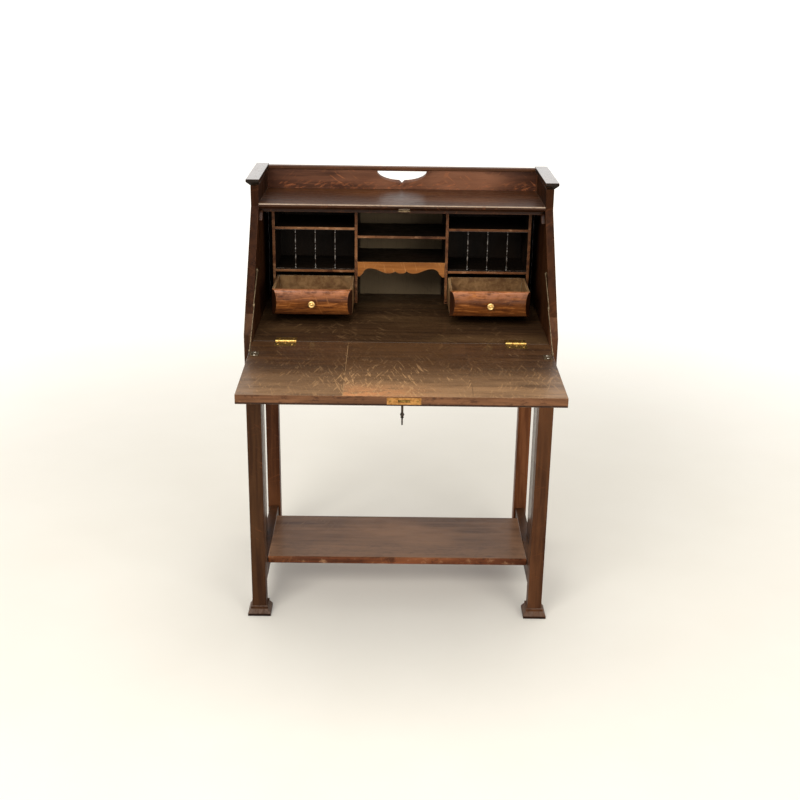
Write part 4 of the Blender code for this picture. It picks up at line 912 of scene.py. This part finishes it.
def build_stage():
    """One plain pale floor that whitens away from the desk."""
    floor = Recipe("pale_floor")
    place = floor.object_place()
    dust = floor.noise(place, (3.0, 3.0, 3.0), 5.0)
    tone = floor.mix(dust, stain(222, 215, 200), stain(230, 224, 211))
    floor.feed(floor.shader.inputs["Base Color"], tone)
    floor.shader.inputs["Roughness"].default_value = 0.8
    away = floor.node("VectorMath", {0: place}, operation="LENGTH").outputs["Value"]
    white = floor.signed("MULTIPLY_ADD", floor.between(away, *FLOOR_WHITENS), 0.60, 0.10)
    floor.shader.inputs["Emission Color"].default_value = (1.0, 1.0, 0.99, 1.0)
    floor.feed(floor.shader.inputs["Emission Strength"], floor.times(backdrop_rays(floor.tree), white))
    bm = bmesh.new()
    bmesh.ops.create_grid(bm, x_segments=1, y_segments=1, size=FLOOR_REACH,
                          matrix=Matrix.Translation((0, 0, -FLOOR_DROP)))
    mesh = bpy.data.meshes.new("floor_sheet")
    bm.to_mesh(mesh)
    bm.free()
    mesh.materials.append(floor.material)
    sheet = bpy.data.objects.new("floor_sheet", mesh)
    bpy.context.scene.collection.objects.link(sheet)


def soft_box(name, place, size, power):
    """A soft rectangular light, aimed at the desk."""
    light = bpy.data.lights.new(name, "AREA")
    light.shape = "RECTANGLE"
    light.size, light.size_y = size
    light.energy = power
    lamp = bpy.data.objects.new(name, light)
    lamp.location = place
    lamp.rotation_euler = (Vector(LIGHTS_AIM) - Vector(place)).to_track_quat("-Z", "Y").to_euler()
    bpy.context.scene.collection.objects.link(lamp)


def build_light():
    """A white room, brighter behind the desk than before it, and three soft boxes."""
    world = bpy.data.worlds.new("studio")
    world.use_nodes = True
    nodes, links = world.node_tree.nodes, world.node_tree.links
    sky = nodes["Background"]
    sky.inputs["Color"].default_value = (1.0, 0.99, 0.97, 1.0)
    way = nodes.new("ShaderNodeTexCoord")
    axes = nodes.new("ShaderNodeSeparateXYZ")
    fade = nodes.new("ShaderNodeMapRange")
    fade.interpolation_type = "SMOOTHSTEP"
    for key, value in (("From Min", -0.35), ("From Max", 0.45), ("To Min", 0.38), ("To Max", 0.95)):
        fade.inputs[key].default_value = value
    links.new(way.outputs["Generated"], axes.inputs["Vector"])
    links.new(axes.outputs["Y"], fade.inputs["Value"])
    strength = nodes.new("ShaderNodeMath")
    strength.operation = "MAXIMUM"
    links.new(fade.outputs["Result"], strength.inputs[0])
    links.new(backdrop_rays(world.node_tree), strength.inputs[1])
    links.new(strength.outputs["Value"], sky.inputs["Strength"])
    bpy.context.scene.world = world
    soft_box("key_box", (-1.4, -2.5, 2.6), (1.6, 1.4), 62.0)
    soft_box("fill_box", (1.9, -2.6, 1.6), (1.6, 1.6), 34.0)
    soft_box("top_box", (0.0, -0.5, 2.9), (2.0, 1.4), 26.0)


def build_camera():
    """The photo's camera, from its fitted place, pitch, yaw and roll."""
    ahead = math.cos(CAMERA_PITCH)
    forward = Vector((math.sin(CAMERA_YAW) * ahead, math.cos(CAMERA_YAW) * ahead, -math.sin(CAMERA_PITCH)))
    level = Vector((math.cos(CAMERA_YAW), -math.sin(CAMERA_YAW), 0.0))
    upward = level.cross(forward)
    right = level * math.cos(CAMERA_ROLL) + upward * math.sin(CAMERA_ROLL)
    head = upward * math.cos(CAMERA_ROLL) - level * math.sin(CAMERA_ROLL)
    lens = bpy.data.cameras.new("photo_camera")
    lens.sensor_width = SENSOR
    lens.lens = FOCAL_PIXELS / FRAME_PIXELS * SENSOR
    camera = bpy.data.objects.new("photo_camera", lens)
    turn = Matrix((right, head, -forward)).transposed().to_4x4()
    camera.matrix_world = Matrix.Translation(CAMERA_PLACE) @ turn
    bpy.context.scene.collection.objects.link(camera)
    bpy.context.scene.camera = camera


build_woodwork()
build_spindles()
build_knobs()
build_key()
build_metalwork()
build_plates()
build_stage()
build_light()
build_camera()
bpy.context.scene.view_settings.view_transform = "Standard"
